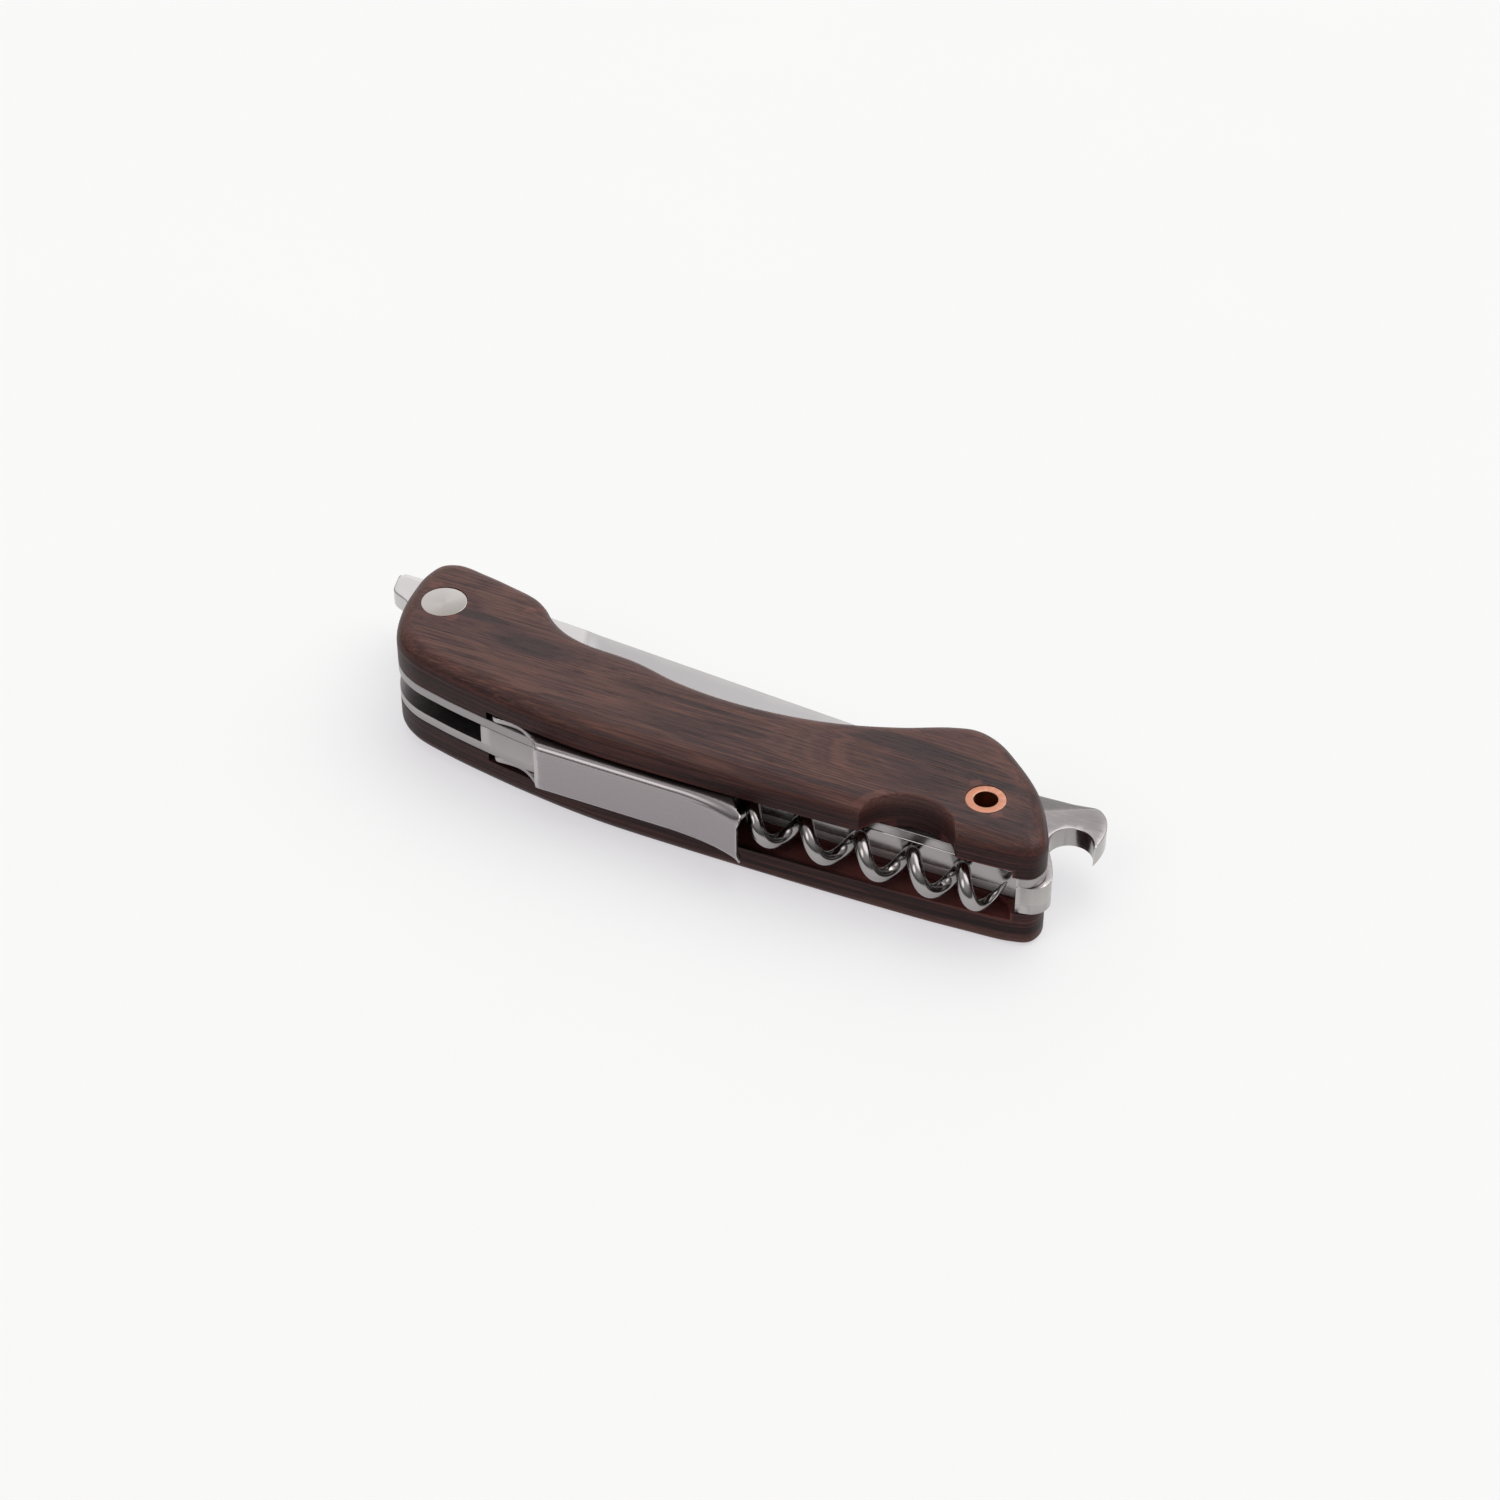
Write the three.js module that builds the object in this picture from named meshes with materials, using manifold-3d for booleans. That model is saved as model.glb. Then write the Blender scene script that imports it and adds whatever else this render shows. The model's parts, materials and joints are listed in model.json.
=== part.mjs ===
// Waiters corkscrew, closed: a handle of two wooden scales over steel liners, with a folding blade,
// a folding lever, a folding worm and a fixed cap lifter.
// Millimetres. The origin is on the flat outer face of the lower scale, near the middle of the handle.
// +X runs along the handle towards the cap lifter, +Y towards the concave side where the blade opens,
// -Y towards the side where the lever and the worm open, and +Z up through the upper scale.
import * as THREE from "three";
import { mergeVertices } from "three/addons/utils/BufferGeometryUtils.js";
import Module from "manifold-3d";

const wasm = await Module();
wasm.setup();

// ---- Driving dimensions: the stack through the thickness ----
const HANDLE_THICKNESS = 19.2;
const MID_Z = HANDLE_THICKNESS / 2;
const SLOT_HALF = 1.7; // half the gap between the liners
const LINER_THICKNESS = 1.6;
const LINER_OUTER = SLOT_HALF + LINER_THICKNESS; // from the middle plane
const SCALE_EDGE_RADIUS = 2.4;
const BLADE_HALF = 1.5; // half the blade's thickness at the spine
const EDGE_HALF = 0.2; // half its thickness at the cutting edge
const LEVER_POCKET_DEPTH = 2.0; // into each scale, beyond the liner
const WORM_POCKET_DEPTH = 1.4;

// ---- Driving dimensions: pivots and fixings, in plan ----
const BLADE_PIVOT = [-52.6, 10.0];
const LEVER_PIVOT = [-32.0, -2.3];
const WORM_PIVOT = [-12.0, -3.0];
const LANYARD_HOLE = [40.0, 2.1];
const STOP_PIN = [-39.5, 6.4];
const DETENT = [-56.7, 7.95];
const SPACER_PINS = { front_spacer_pin: [-22.0, -1.2], rear_spacer_pin: [-3.0, 0.6] };
const LIFTER_PIN = [12.0, 0.6];

const PIVOT_HEAD_RADIUS = 3.6;
const PIVOT_HEAD_THICKNESS = 1.6;
const PIVOT_HEAD_RECESS = 0.1; // below the wood
const PIVOT_BARREL_RADIUS = 2.5;
const PIVOT_SCREW_RADIUS = 1.45;
const WASHER_RADIUS = 3.8;
const LANYARD_RADIUS = 3.0;
const LANYARD_BORE_RADIUS = 1.75;
const LEVER_PIN_RADIUS = 1.3;
const LEVER_PIN_HEAD_RADIUS = 2.1;
const WORM_PIN_RADIUS = 1.2;
const SPACER_PIN_RADIUS = 1.25;
const STOP_PIN_RADIUS = 1.5;
const DETENT_RADIUS = 0.8;
const RUNNING_CLEARANCE = 0.05;
const PRESS_CLEARANCE = 0.02;

// ---- Driving dimensions: lever, worm and channel ----
const CHANNEL_WALL_Y = -2.5; // the wall that the worm lies against
const CHANNEL_END_X = 48.0;
const LEVER_WEB_Y = -9.5; // outer face of the web
const LEVER_HALF_HEIGHT = 4.3;
const LEVER_SHEET = 0.9;
const LEVER_BEND_RADIUS = 1.4;
const LEVER_FROM_X = -37.0;
const LEVER_TIP_X = 7.4;
const FLARE_FROM_X = -5.0;
const FLARE_OUT = 2.4; // how far the tip stands out
const FLARE_WIDEN = 0.08; // share of the half height added at the tip
const EAR_RADIUS = 4.1;
const EAR_POCKET_RADIUS = 6.3;
const WIRE_RADIUS = 1.1;
const COIL_RADIUS = 2.25; // to the middle of the wire
const COIL_PITCH = 8.1;
const COIL_AXIS_Y = -6.3;
const COIL_FROM_X = 7.0;
const COIL_TO_X = 46.4;
const COIL_PHASE = THREE.MathUtils.degToRad(230); // wire angle from +Y towards +Z at COIL_PHASE_X
const COIL_PHASE_X = 11.5;
const COIL_LEAD = { shank: 1.2, point: 1.3 }; // how far the first and last turns run ahead of the pitch
const SHANK_END_X = -1.5; // where the straight shank starts to turn into the coil
const POINT_LENGTH = 9.0; // tapered length of wire at the tip

const ROUND_SIDES = 28;
const FAR_OUT = 30; // reach of a cutter that runs past the handle

// The handle in plan, anticlockwise from the blade end.
const HANDLE_OUTLINE = [
  [-59.4, 12.5], [-58.3, 6.2], [-55.6, 0.4], [-52.1, -2.3], [-46.0, -4.1], [-38.3, -5.6], [-29.0, -7.0],
  [-18.0, -7.9], [-4.0, -7.9], [12.0, -7.5], [28.0, -6.9], [40.0, -6.2], [47.6, -5.5], [50.3, -4.4],
  [51.1, -1.8], [49.5, 2.4], [46.0, 8.2], [40.9, 13.3], [36.4, 16.6], [32.6, 17.6], [28.6, 16.6],
  [21.8, 13.4], [13.5, 10.5], [5.0, 8.9], [-4.0, 8.4], [-12.0, 9.1], [-20.0, 10.9], [-29.0, 11.6],
  [-33.0, 12.8], [-36.2, 14.8], [-38.5, 16.9], [-40.8, 18.3], [-45.6, 19.5], [-50.4, 20.4], [-55.4, 20.9],
  [-58.3, 19.4], [-59.4, 16.4],
];
const OUTLINE_STEPS = 3 * HANDLE_OUTLINE.length;

// ---- Materials ----
const material = (color, roughness, metalness) =>
  new THREE.MeshStandardMaterial({ color, roughness, metalness });
const rosewood = material(0x4a2c28, 0.45, 0.0);
const satinSteel = material(0xb4b4b2, 0.35, 1.0);
const polishedSteel = material(0xc9c7c4, 0.2, 1.0);
const copper = material(0xd29174, 0.3, 1.0);
const bronze = material(0xa9824a, 0.4, 1.0);

// ---- Geometry helpers ----

// A closed geometry as a solid for joining and cutting.
function solidOf(geometry) {
  const bare = geometry.index ? geometry.toNonIndexed() : geometry.clone();
  bare.deleteAttribute("normal");
  bare.deleteAttribute("uv");
  const merged = mergeVertices(bare, 1e-3);
  return new wasm.Manifold(
    new wasm.Mesh({
      numProp: 3,
      vertProperties: merged.attributes.position.array,
      triVerts: new Uint32Array(merged.index.array),
    }),
  );
}

// A joined or cut solid as a geometry.
function geometryOf(solid) {
  const made = solid.getMesh();
  const geometry = new THREE.BufferGeometry();
  geometry.setAttribute("position", new THREE.BufferAttribute(Float32Array.from(made.vertProperties), 3));
  geometry.setIndex(new THREE.BufferAttribute(Uint32Array.from(made.triVerts), 1));
  geometry.computeVertexNormals();
  return geometry;
}

const vectors = (points) => points.map(([x, y]) => new THREE.Vector2(x, y));

// A plan shape between two heights measured from the middle plane.
function prism(shape, from, to) {
  const geometry = new THREE.ExtrudeGeometry(shape, { depth: to - from, bevelEnabled: false, curveSegments: 12 });
  return solidOf(geometry.translate(0, 0, MID_Z + from));
}

// A straight-sided plan shape between two heights measured from the middle plane.
const plate = (points, from, to) => prism(new THREE.Shape(vectors(points)), from, to);

// A round bar along Z between two heights measured from the middle plane.
function bar([x, y], radius, from, to) {
  const geometry = new THREE.CylinderGeometry(radius, radius, to - from, ROUND_SIDES);
  return solidOf(geometry.rotateX(Math.PI / 2).translate(x, y, MID_Z + (from + to) / 2));
}

// A turned piece from its profile of radius and height, with its axis along Z at a place in plan.
function turned([x, y], profile) {
  const geometry = new THREE.LatheGeometry(vectors(profile), ROUND_SIDES);
  return solidOf(geometry.rotateX(Math.PI / 2).translate(x, y, MID_Z));
}

function cut(solid, ...tools) {
  return tools.reduce((rest, tool) => rest.subtract(tool), solid);
}

// The same solid mirrored across the middle plane.
function flipped(solid) {
  return solid.translate([0, 0, -MID_Z]).mirror([0, 0, 1]).translate([0, 0, MID_Z]);
}

const handle = new THREE.Group();

function addPiece(name, solid, look) {
  const mesh = new THREE.Mesh(geometryOf(solid), look);
  mesh.name = name;
  handle.add(mesh);
}

// ---- Shapes shared by the handle's pieces ----
const outlineCurve = new THREE.CatmullRomCurve3(
  HANDLE_OUTLINE.map(([x, y]) => new THREE.Vector3(x, y, 0)), true, "centripetal");
const outlinePoints = outlineCurve.getPoints(OUTLINE_STEPS).slice(0, -1).map((p) => new THREE.Vector2(p.x, p.y));
const outlineShape = new THREE.Shape(outlinePoints);
const HALF = HANDLE_THICKNESS / 2;

function throughHole(place, radius) {
  return bar(place, radius, -HALF - 1, HALF + 1);
}

// ---- Scales ----

// Both scales as one slab with rounded outer edges.
function roundedSlab() {
  const radius = SCALE_EDGE_RADIUS;
  const geometry = new THREE.ExtrudeGeometry(outlineShape, {
    depth: HANDLE_THICKNESS - 2 * radius,
    bevelEnabled: true,
    bevelThickness: radius,
    bevelSize: radius,
    bevelOffset: -radius,
    bevelSegments: 3,
  });
  return solidOf(geometry.translate(0, 0, radius));
}

// The hollow in the upper scale for the lever's side wall, its ear and the head of its pin.
function leverPocket() {
  const [x, y] = LEVER_PIVOT;
  const top = LINER_OUTER + LEVER_POCKET_DEPTH;
  const run = plate([
    [x, -FAR_OUT], [9.0, -FAR_OUT], [9.0, -4.4], [-3.0, -4.2], [-13.0, -2.6], [-24.0, 1.4],
    [x, y + EAR_POCKET_RADIUS],
  ], LINER_OUTER, top);
  return run.add(bar(LEVER_PIVOT, EAR_POCKET_RADIUS, LINER_OUTER, top));
}

// The shallower hollow beside the worm.
function wormPocket() {
  return plate([
    [-6.0, -FAR_OUT], [47.8, -FAR_OUT], [47.7, -6.6], [47.2, -4.8], [46.2, -3.3], [44.6, CHANNEL_WALL_Y],
    [-6.0, CHANNEL_WALL_Y],
  ], LINER_OUTER, LINER_OUTER + WORM_POCKET_DEPTH);
}

function scale() {
  const above = plate([[-70, -20], [60, -20], [60, 30], [-70, 30]], LINER_OUTER, HALF + 1);
  const headSeat = HALF - PIVOT_HEAD_RECESS - PIVOT_HEAD_THICKNESS;
  return cut(
    roundedSlab().intersect(above),
    leverPocket(),
    wormPocket(),
    throughHole(BLADE_PIVOT, PIVOT_BARREL_RADIUS + PRESS_CLEARANCE),
    bar(BLADE_PIVOT, PIVOT_HEAD_RADIUS + PRESS_CLEARANCE, headSeat, HALF + 1),
    throughHole(LANYARD_HOLE, LANYARD_RADIUS + PRESS_CLEARANCE),
  );
}

// The thumb notch over the worm, in the upper scale only.
const THUMB_NOTCH = { place: [31.6, -9.6], radius: 8.0 };
const thumbNotch = bar(THUMB_NOTCH.place, THUMB_NOTCH.radius, 0, HALF + 1);

addPiece("upper_scale", scale().subtract(thumbNotch), rosewood);
addPiece("lower_scale", flipped(scale()), rosewood);

// ---- Liners ----
function liner() {
  const channel = plate([
    [-27.0, -FAR_OUT], [-27.0, -6.6], [-8.4, -6.6], [-6.6, -5.6], [-5.6, -3.4], [-4.4, CHANNEL_WALL_Y],
    [CHANNEL_END_X, CHANNEL_WALL_Y], [CHANNEL_END_X, -FAR_OUT],
  ], SLOT_HALF - 1, LINER_OUTER + 1);
  const pins = [...Object.values(SPACER_PINS), LIFTER_PIN];
  return cut(
    prism(outlineShape, SLOT_HALF, LINER_OUTER),
    channel,
    throughHole(BLADE_PIVOT, PIVOT_BARREL_RADIUS + PRESS_CLEARANCE),
    throughHole(LEVER_PIVOT, LEVER_PIN_RADIUS + PRESS_CLEARANCE),
    throughHole(WORM_PIVOT, WORM_PIN_RADIUS + PRESS_CLEARANCE),
    throughHole(LANYARD_HOLE, LANYARD_RADIUS + PRESS_CLEARANCE),
    throughHole(STOP_PIN, STOP_PIN_RADIUS + PRESS_CLEARANCE),
    ...pins.map((place) => throughHole(place, SPACER_PIN_RADIUS + PRESS_CLEARANCE)),
  );
}

// The rounded foot at the end of the handle, which the cap lifter and the lower liner share.
function footCurve(shape) {
  shape.lineTo(CHANNEL_END_X, -5.3);
  shape.lineTo(50.0, -4.9);
  shape.quadraticCurveTo(52.1, -4.0, 52.1, -1.8);
  shape.quadraticCurveTo(51.4, 0.9, 49.4, 4.0);
}

function foot() {
  const shape = new THREE.Shape(vectors([[CHANNEL_END_X, CHANNEL_WALL_Y]]));
  footCurve(shape);
  shape.lineTo(46.0, 4.0);
  shape.lineTo(46.0, CHANNEL_WALL_Y);
  return prism(shape, SLOT_HALF, LINER_OUTER);
}

const detentHole = bar(DETENT, DETENT_RADIUS + PRESS_CLEARANCE, 0, HALF);
addPiece("upper_liner", liner().subtract(detentHole), satinSteel);
addPiece("lower_liner", flipped(liner().add(foot())), satinSteel);

// ---- The plates between the liners ----

// The backspacer: its stepped blade end stops the open blade, and it is hollowed around the worm's eye.
const SPACER_FROM_X = -38.35;
const BLADE_STOP_X = -37.2;
const SPACER_TO_X = 3.0;
const SPACER_FAR_Y = 3.4;
function backspacer() {
  const blank = plate([
    [SPACER_FROM_X, -5.5], [-34.6, -6.1], [-30.0, -6.6], [-16.3, -6.6], [-16.3, CHANNEL_WALL_Y],
    [SPACER_TO_X, CHANNEL_WALL_Y], [SPACER_TO_X, SPACER_FAR_Y], [BLADE_STOP_X, SPACER_FAR_Y],
    [BLADE_STOP_X, -4.1], [SPACER_FROM_X, -4.1],
  ], -SLOT_HALF, SLOT_HALF);
  return cut(
    blank,
    bar(WORM_PIVOT, 4.2, -HALF, HALF),
    throughHole(LEVER_PIVOT, LEVER_PIN_RADIUS + PRESS_CLEARANCE),
    ...Object.values(SPACER_PINS).map((place) => throughHole(place, SPACER_PIN_RADIUS + PRESS_CLEARANCE)),
  );
}
addPiece("backspacer", backspacer(), satinSteel);

// The cap lifter: a plate that fills the end of the handle and stands out as a hook.
const HOOK_THROAT = { centre: [51.75, 6.75], radius: 3.35 };
const HOOK_TIP = [55.15, 7.0];
function capLifterShape() {
  const shape = new THREE.Shape();
  const [cx, cy] = HOOK_THROAT.centre;
  shape.moveTo(SPACER_TO_X + 0.3, CHANNEL_WALL_Y);
  shape.lineTo(CHANNEL_END_X, CHANNEL_WALL_Y);
  footCurve(shape);
  shape.absarc(cx, cy, HOOK_THROAT.radius, THREE.MathUtils.degToRad(190), THREE.MathUtils.degToRad(8), true);
  shape.lineTo(...HOOK_TIP);
  shape.quadraticCurveTo(56.1, 11.0, 54.6, 13.8);
  shape.quadraticCurveTo(53.4, 15.6, 52.0, 15.7);
  shape.lineTo(48.8, 15.7);
  shape.lineTo(42.9, 16.6);
  shape.lineTo(41.4, 13.2);
  shape.quadraticCurveTo(36.5, 7.6, 24.0, 3.9);
  shape.lineTo(SPACER_TO_X + 0.3, SPACER_FAR_Y);
  return shape;
}

// The wedge ground off the cap lifter's far side: everything above a plane through three points.
function lifterBevel() {
  const ridge = new THREE.Vector3(45.8, 11.7, MID_Z + SLOT_HALF);
  const alongRidge = new THREE.Vector3(3.8, 2.1, 0).normalize();
  const downBevel = new THREE.Vector3(42.9, 16.6, MID_Z).sub(ridge);
  const normal = new THREE.Vector3().crossVectors(alongRidge, downBevel).normalize();
  const across = new THREE.Vector3().crossVectors(normal, alongRidge);
  const block = new THREE.BoxGeometry(40, 40, 6).translate(0, 0, 3);
  const placed = new THREE.Matrix4().makeBasis(alongRidge, across, normal).setPosition(ridge);
  return solidOf(block.applyMatrix4(placed)).subtract(prism(outlineShape, -HALF, HALF));
}

function capLifter() {
  const bevel = lifterBevel();
  return cut(
    prism(capLifterShape(), -SLOT_HALF, SLOT_HALF),
    bevel,
    flipped(bevel),
    throughHole(LANYARD_HOLE, LANYARD_RADIUS + PRESS_CLEARANCE),
    throughHole(LIFTER_PIN, SPACER_PIN_RADIUS + PRESS_CLEARANCE),
  );
}
addPiece("cap_lifter", capLifter(), polishedSteel);

// ---- Fixed pins ----
for (const [name, place] of Object.entries({ ...SPACER_PINS, cap_lifter_pin: LIFTER_PIN })) {
  addPiece(name, bar(place, SPACER_PIN_RADIUS, -LINER_OUTER, LINER_OUTER), satinSteel);
}
addPiece("blade_stop_pin", bar(STOP_PIN, STOP_PIN_RADIUS, -LINER_OUTER, LINER_OUTER), satinSteel);
addPiece("worm_pivot_pin", bar(WORM_PIVOT, WORM_PIN_RADIUS, -LINER_OUTER, LINER_OUTER), satinSteel);

// The lever's pin has a flat head over each ear.
function leverPin() {
  const shank = LEVER_HALF_HEIGHT + 0.05;
  const end = LINER_OUTER + LEVER_POCKET_DEPTH - 0.15;
  const head = bar(LEVER_PIVOT, LEVER_PIN_HEAD_RADIUS, shank, end);
  return bar(LEVER_PIVOT, LEVER_PIN_RADIUS, -end, end).add(head).add(flipped(head));
}
addPiece("lever_pivot_pin", leverPin(), satinSteel);

// The copper tube through the handle, for a lanyard.
function lanyardTube() {
  const reach = HALF - PIVOT_HEAD_RECESS;
  return turned(LANYARD_HOLE, [
    [LANYARD_BORE_RADIUS, -reach], [LANYARD_RADIUS, -reach], [LANYARD_RADIUS, reach],
    [LANYARD_BORE_RADIUS, reach], [LANYARD_BORE_RADIUS, -reach],
  ]);
}
addPiece("lanyard_tube", lanyardTube(), copper);

// ---- Blade pivot: a barrel with the upper head, and a screw with the lower head ----
const HEAD_TOP = HALF - PIVOT_HEAD_RECESS;
const HEAD_SEAT = HEAD_TOP - PIVOT_HEAD_THICKNESS;
const BARREL_END = -LINER_OUTER - 2.0;
const SCREW_END = 5.0;

function pivotBarrel() {
  const bore = PIVOT_SCREW_RADIUS + PRESS_CLEARANCE;
  return turned(BLADE_PIVOT, [
    [bore, BARREL_END], [PIVOT_BARREL_RADIUS, BARREL_END], [PIVOT_BARREL_RADIUS, HEAD_SEAT],
    [PIVOT_HEAD_RADIUS, HEAD_SEAT], [PIVOT_HEAD_RADIUS, HEAD_TOP - 0.15], [0, HEAD_TOP],
    [0, SCREW_END + 0.3], [bore, SCREW_END + 0.3], [bore, BARREL_END],
  ]);
}

function pivotScrew() {
  return turned(BLADE_PIVOT, [
    [0, -HEAD_TOP], [PIVOT_HEAD_RADIUS, -HEAD_TOP + 0.15], [PIVOT_HEAD_RADIUS, -HEAD_SEAT],
    [PIVOT_SCREW_RADIUS, -HEAD_SEAT], [PIVOT_SCREW_RADIUS, SCREW_END], [0, SCREW_END],
  ]);
}
addPiece("blade_pivot_barrel", pivotBarrel(), polishedSteel);
addPiece("blade_pivot_screw", pivotScrew(), polishedSteel);

const washer = bar(BLADE_PIVOT, WASHER_RADIUS, BLADE_HALF, SLOT_HALF)
  .subtract(throughHole(BLADE_PIVOT, PIVOT_BARREL_RADIUS + RUNNING_CLEARANCE));
addPiece("upper_blade_washer", washer, bronze);
addPiece("lower_blade_washer", flipped(washer), bronze);

// A ball pressed into the upper liner holds the blade shut.
const detentBall = new THREE.SphereGeometry(DETENT_RADIUS, 10, 6)
  .translate(...DETENT, MID_Z + BLADE_HALF + PRESS_CLEARANCE + DETENT_RADIUS);
addPiece("detent_ball", solidOf(detentBall), satinSteel);

// ---- Blade ----
const SPINE_SLOPE = Math.atan2(18.6 - 22.8, 12.8 + 45.0);
const PLUNGE_X = -34.5; // where the ground bevels start
const TANG_RADIUS = 5.6;
function bladeShape() {
  const shape = new THREE.Shape();
  const [px, py] = BLADE_PIVOT;
  shape.moveTo(-67.8, 21.7);
  shape.lineTo(-66.9, 18.1);
  shape.lineTo(-63.8, 16.8);
  shape.lineTo(-57.9, 12.2);
  shape.absarc(px, py, TANG_RADIUS, THREE.MathUtils.degToRad(165), THREE.MathUtils.degToRad(335), false);
  shape.lineTo(-41.5, 8.1);
  shape.lineTo(-37.8, 8.1);
  shape.quadraticCurveTo(-37.4, 5.5, -35.5, 5.4);
  shape.lineTo(8.0, 5.4);
  shape.bezierCurveTo(20.0, 5.6, 31.0, 8.4, 38.0, 13.2);
  shape.quadraticCurveTo(33.0, 16.9, 24.0, 17.8);
  shape.lineTo(-45.0, 22.8);
  shape.lineTo(-67.2, 22.8);
  return shape;
}

// Flat grind: full thickness along the spine, thinning evenly to the cutting edge.
function grind() {
  const profile = new THREE.Shape(vectors([
    [1, BLADE_HALF], [-18.5, EDGE_HALF], [-18.5, -EDGE_HALF], [1, -BLADE_HALF],
  ]));
  const length = 80;
  const geometry = new THREE.ExtrudeGeometry(profile, { depth: length, bevelEnabled: false });
  const along = new THREE.Matrix4().makeBasis(
    new THREE.Vector3(0, 1, 0), new THREE.Vector3(0, 0, 1), new THREE.Vector3(1, 0, 0));
  const spineY = 22.8 + (PLUNGE_X + 45.0) * Math.tan(SPINE_SLOPE);
  return solidOf(geometry.applyMatrix4(along).rotateZ(SPINE_SLOPE).translate(PLUNGE_X, spineY, MID_Z));
}

function blade() {
  const blank = prism(bladeShape(), -BLADE_HALF, BLADE_HALF);
  const tangEnd = plate([[-70, -5], [PLUNGE_X - 1, -5], [PLUNGE_X + 1, 30], [-70, 30]], -HALF, HALF);
  const ground = blank.subtract(tangEnd).intersect(grind());
  return blank.intersect(tangEnd).add(ground)
    .subtract(throughHole(BLADE_PIVOT, PIVOT_BARREL_RADIUS + RUNNING_CLEARANCE));
}
addPiece("blade", blade(), satinSteel);

// ---- Lever: one folded sheet, a web with two side walls that end in ears ----
function leverSection() {
  const shape = new THREE.Shape();
  const open = 4.0;
  const outer = LEVER_HALF_HEIGHT;
  const inner = LEVER_HALF_HEIGHT - LEVER_SHEET;
  const bend = LEVER_BEND_RADIUS;
  const innerBend = LEVER_BEND_RADIUS - LEVER_SHEET;
  const centre = LEVER_WEB_Y + bend;
  shape.moveTo(open, outer);
  shape.absarc(centre, outer - bend, bend, Math.PI / 2, Math.PI, false);
  shape.absarc(centre, bend - outer, bend, Math.PI, 1.5 * Math.PI, false);
  shape.lineTo(open, -outer);
  shape.lineTo(open, -inner);
  shape.absarc(centre, innerBend - inner, innerBend, 1.5 * Math.PI, Math.PI, true);
  shape.absarc(centre, inner - innerBend, innerBend, Math.PI, Math.PI / 2, true);
  shape.lineTo(open, inner);
  return shape;
}

// The folded channel, standing out and widening towards its tip.
function leverChannel() {
  const length = LEVER_TIP_X - LEVER_FROM_X;
  const geometry = new THREE.ExtrudeGeometry(leverSection(), {
    depth: length, steps: 12, bevelEnabled: false, curveSegments: 3,
  });
  const along = new THREE.Matrix4().makeBasis(
    new THREE.Vector3(0, 1, 0), new THREE.Vector3(0, 0, 1), new THREE.Vector3(1, 0, 0));
  geometry.applyMatrix4(along).translate(LEVER_FROM_X, 0, 0);
  const place = geometry.getAttribute("position");
  for (let i = 0; i < place.count; i++) {
    const share = Math.max(0, place.getX(i) - FLARE_FROM_X) / (LEVER_TIP_X - FLARE_FROM_X);
    place.setY(i, place.getY(i) - FLARE_OUT * share * share);
    place.setZ(i, MID_Z + place.getZ(i) * (1 + FLARE_WIDEN * share));
  }
  return solidOf(geometry);
}

function lever() {
  const [x, y] = LEVER_PIVOT;
  const trim = new THREE.Shape(vectors([
    [LEVER_TIP_X + 1, -16.0], [LEVER_TIP_X + 1, -11.2], [LEVER_TIP_X - 0.2, -10.6], [3.4, -7.9], [0.8, -5.8],
    [-3.0, -5.1], [-14.0, -3.2], [-24.0, 0.4], [x + 1.5, y + EAR_RADIUS - 0.3],
  ]));
  trim.absarc(x, y, EAR_RADIUS, THREE.MathUtils.degToRad(70), THREE.MathUtils.degToRad(185), false);
  trim.quadraticCurveTo(-37.0, -6.1, -35.2, -6.2);
  trim.bezierCurveTo(-31.6, -6.1, -30.6, -6.4, -27.6, -8.7);
  trim.lineTo(-27.4, -9.0);
  trim.lineTo(-27.4, -16.0);
  return leverChannel().intersect(prism(trim, -HALF, HALF))
    .subtract(throughHole(LEVER_PIVOT, LEVER_PIN_RADIUS + RUNNING_CLEARANCE));
}
addPiece("lever", lever(), satinSteel);

// ---- Worm: one wire, bent round its pin, straight along the shank and coiled to a point ----
const EYE_RADIUS = WORM_PIN_RADIUS + WIRE_RADIUS + 0.08; // to the middle of the wire
const EYE_STEPS = 9;
const COIL_STEPS_PER_TURN = 13;

function wormPath() {
  const points = [];
  const [x, y] = WORM_PIVOT;
  for (let i = 0; i <= EYE_STEPS; i++) {
    const angle = 1.5 * Math.PI * (i / EYE_STEPS);
    points.push(new THREE.Vector3(x + EYE_RADIUS * Math.cos(angle), y + EYE_RADIUS * Math.sin(angle), MID_Z));
  }
  for (const [sx, sy] of [[-9.8, -5.6], [-7.6, -6.1], [-5.5, -6.4], [SHANK_END_X, COIL_AXIS_Y]]) {
    points.push(new THREE.Vector3(sx, sy, MID_Z));
  }
  const step = COIL_PITCH / COIL_STEPS_PER_TURN;
  for (let cx = SHANK_END_X + step; cx < COIL_TO_X; cx += step) {
    const grown = THREE.MathUtils.smoothstep(cx, SHANK_END_X, COIL_FROM_X);
    const lead = COIL_LEAD.shank * (1 - THREE.MathUtils.smoothstep(cx, 6, 28))
      + COIL_LEAD.point * THREE.MathUtils.smoothstep(cx, 36, 47);
    const angle = COIL_PHASE + (2 * Math.PI * (cx - COIL_PHASE_X + lead)) / COIL_PITCH;
    points.push(new THREE.Vector3(
      cx,
      COIL_AXIS_Y + grown * COIL_RADIUS * Math.cos(angle),
      MID_Z + grown * COIL_RADIUS * Math.sin(angle),
    ));
  }
  return points;
}

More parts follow.
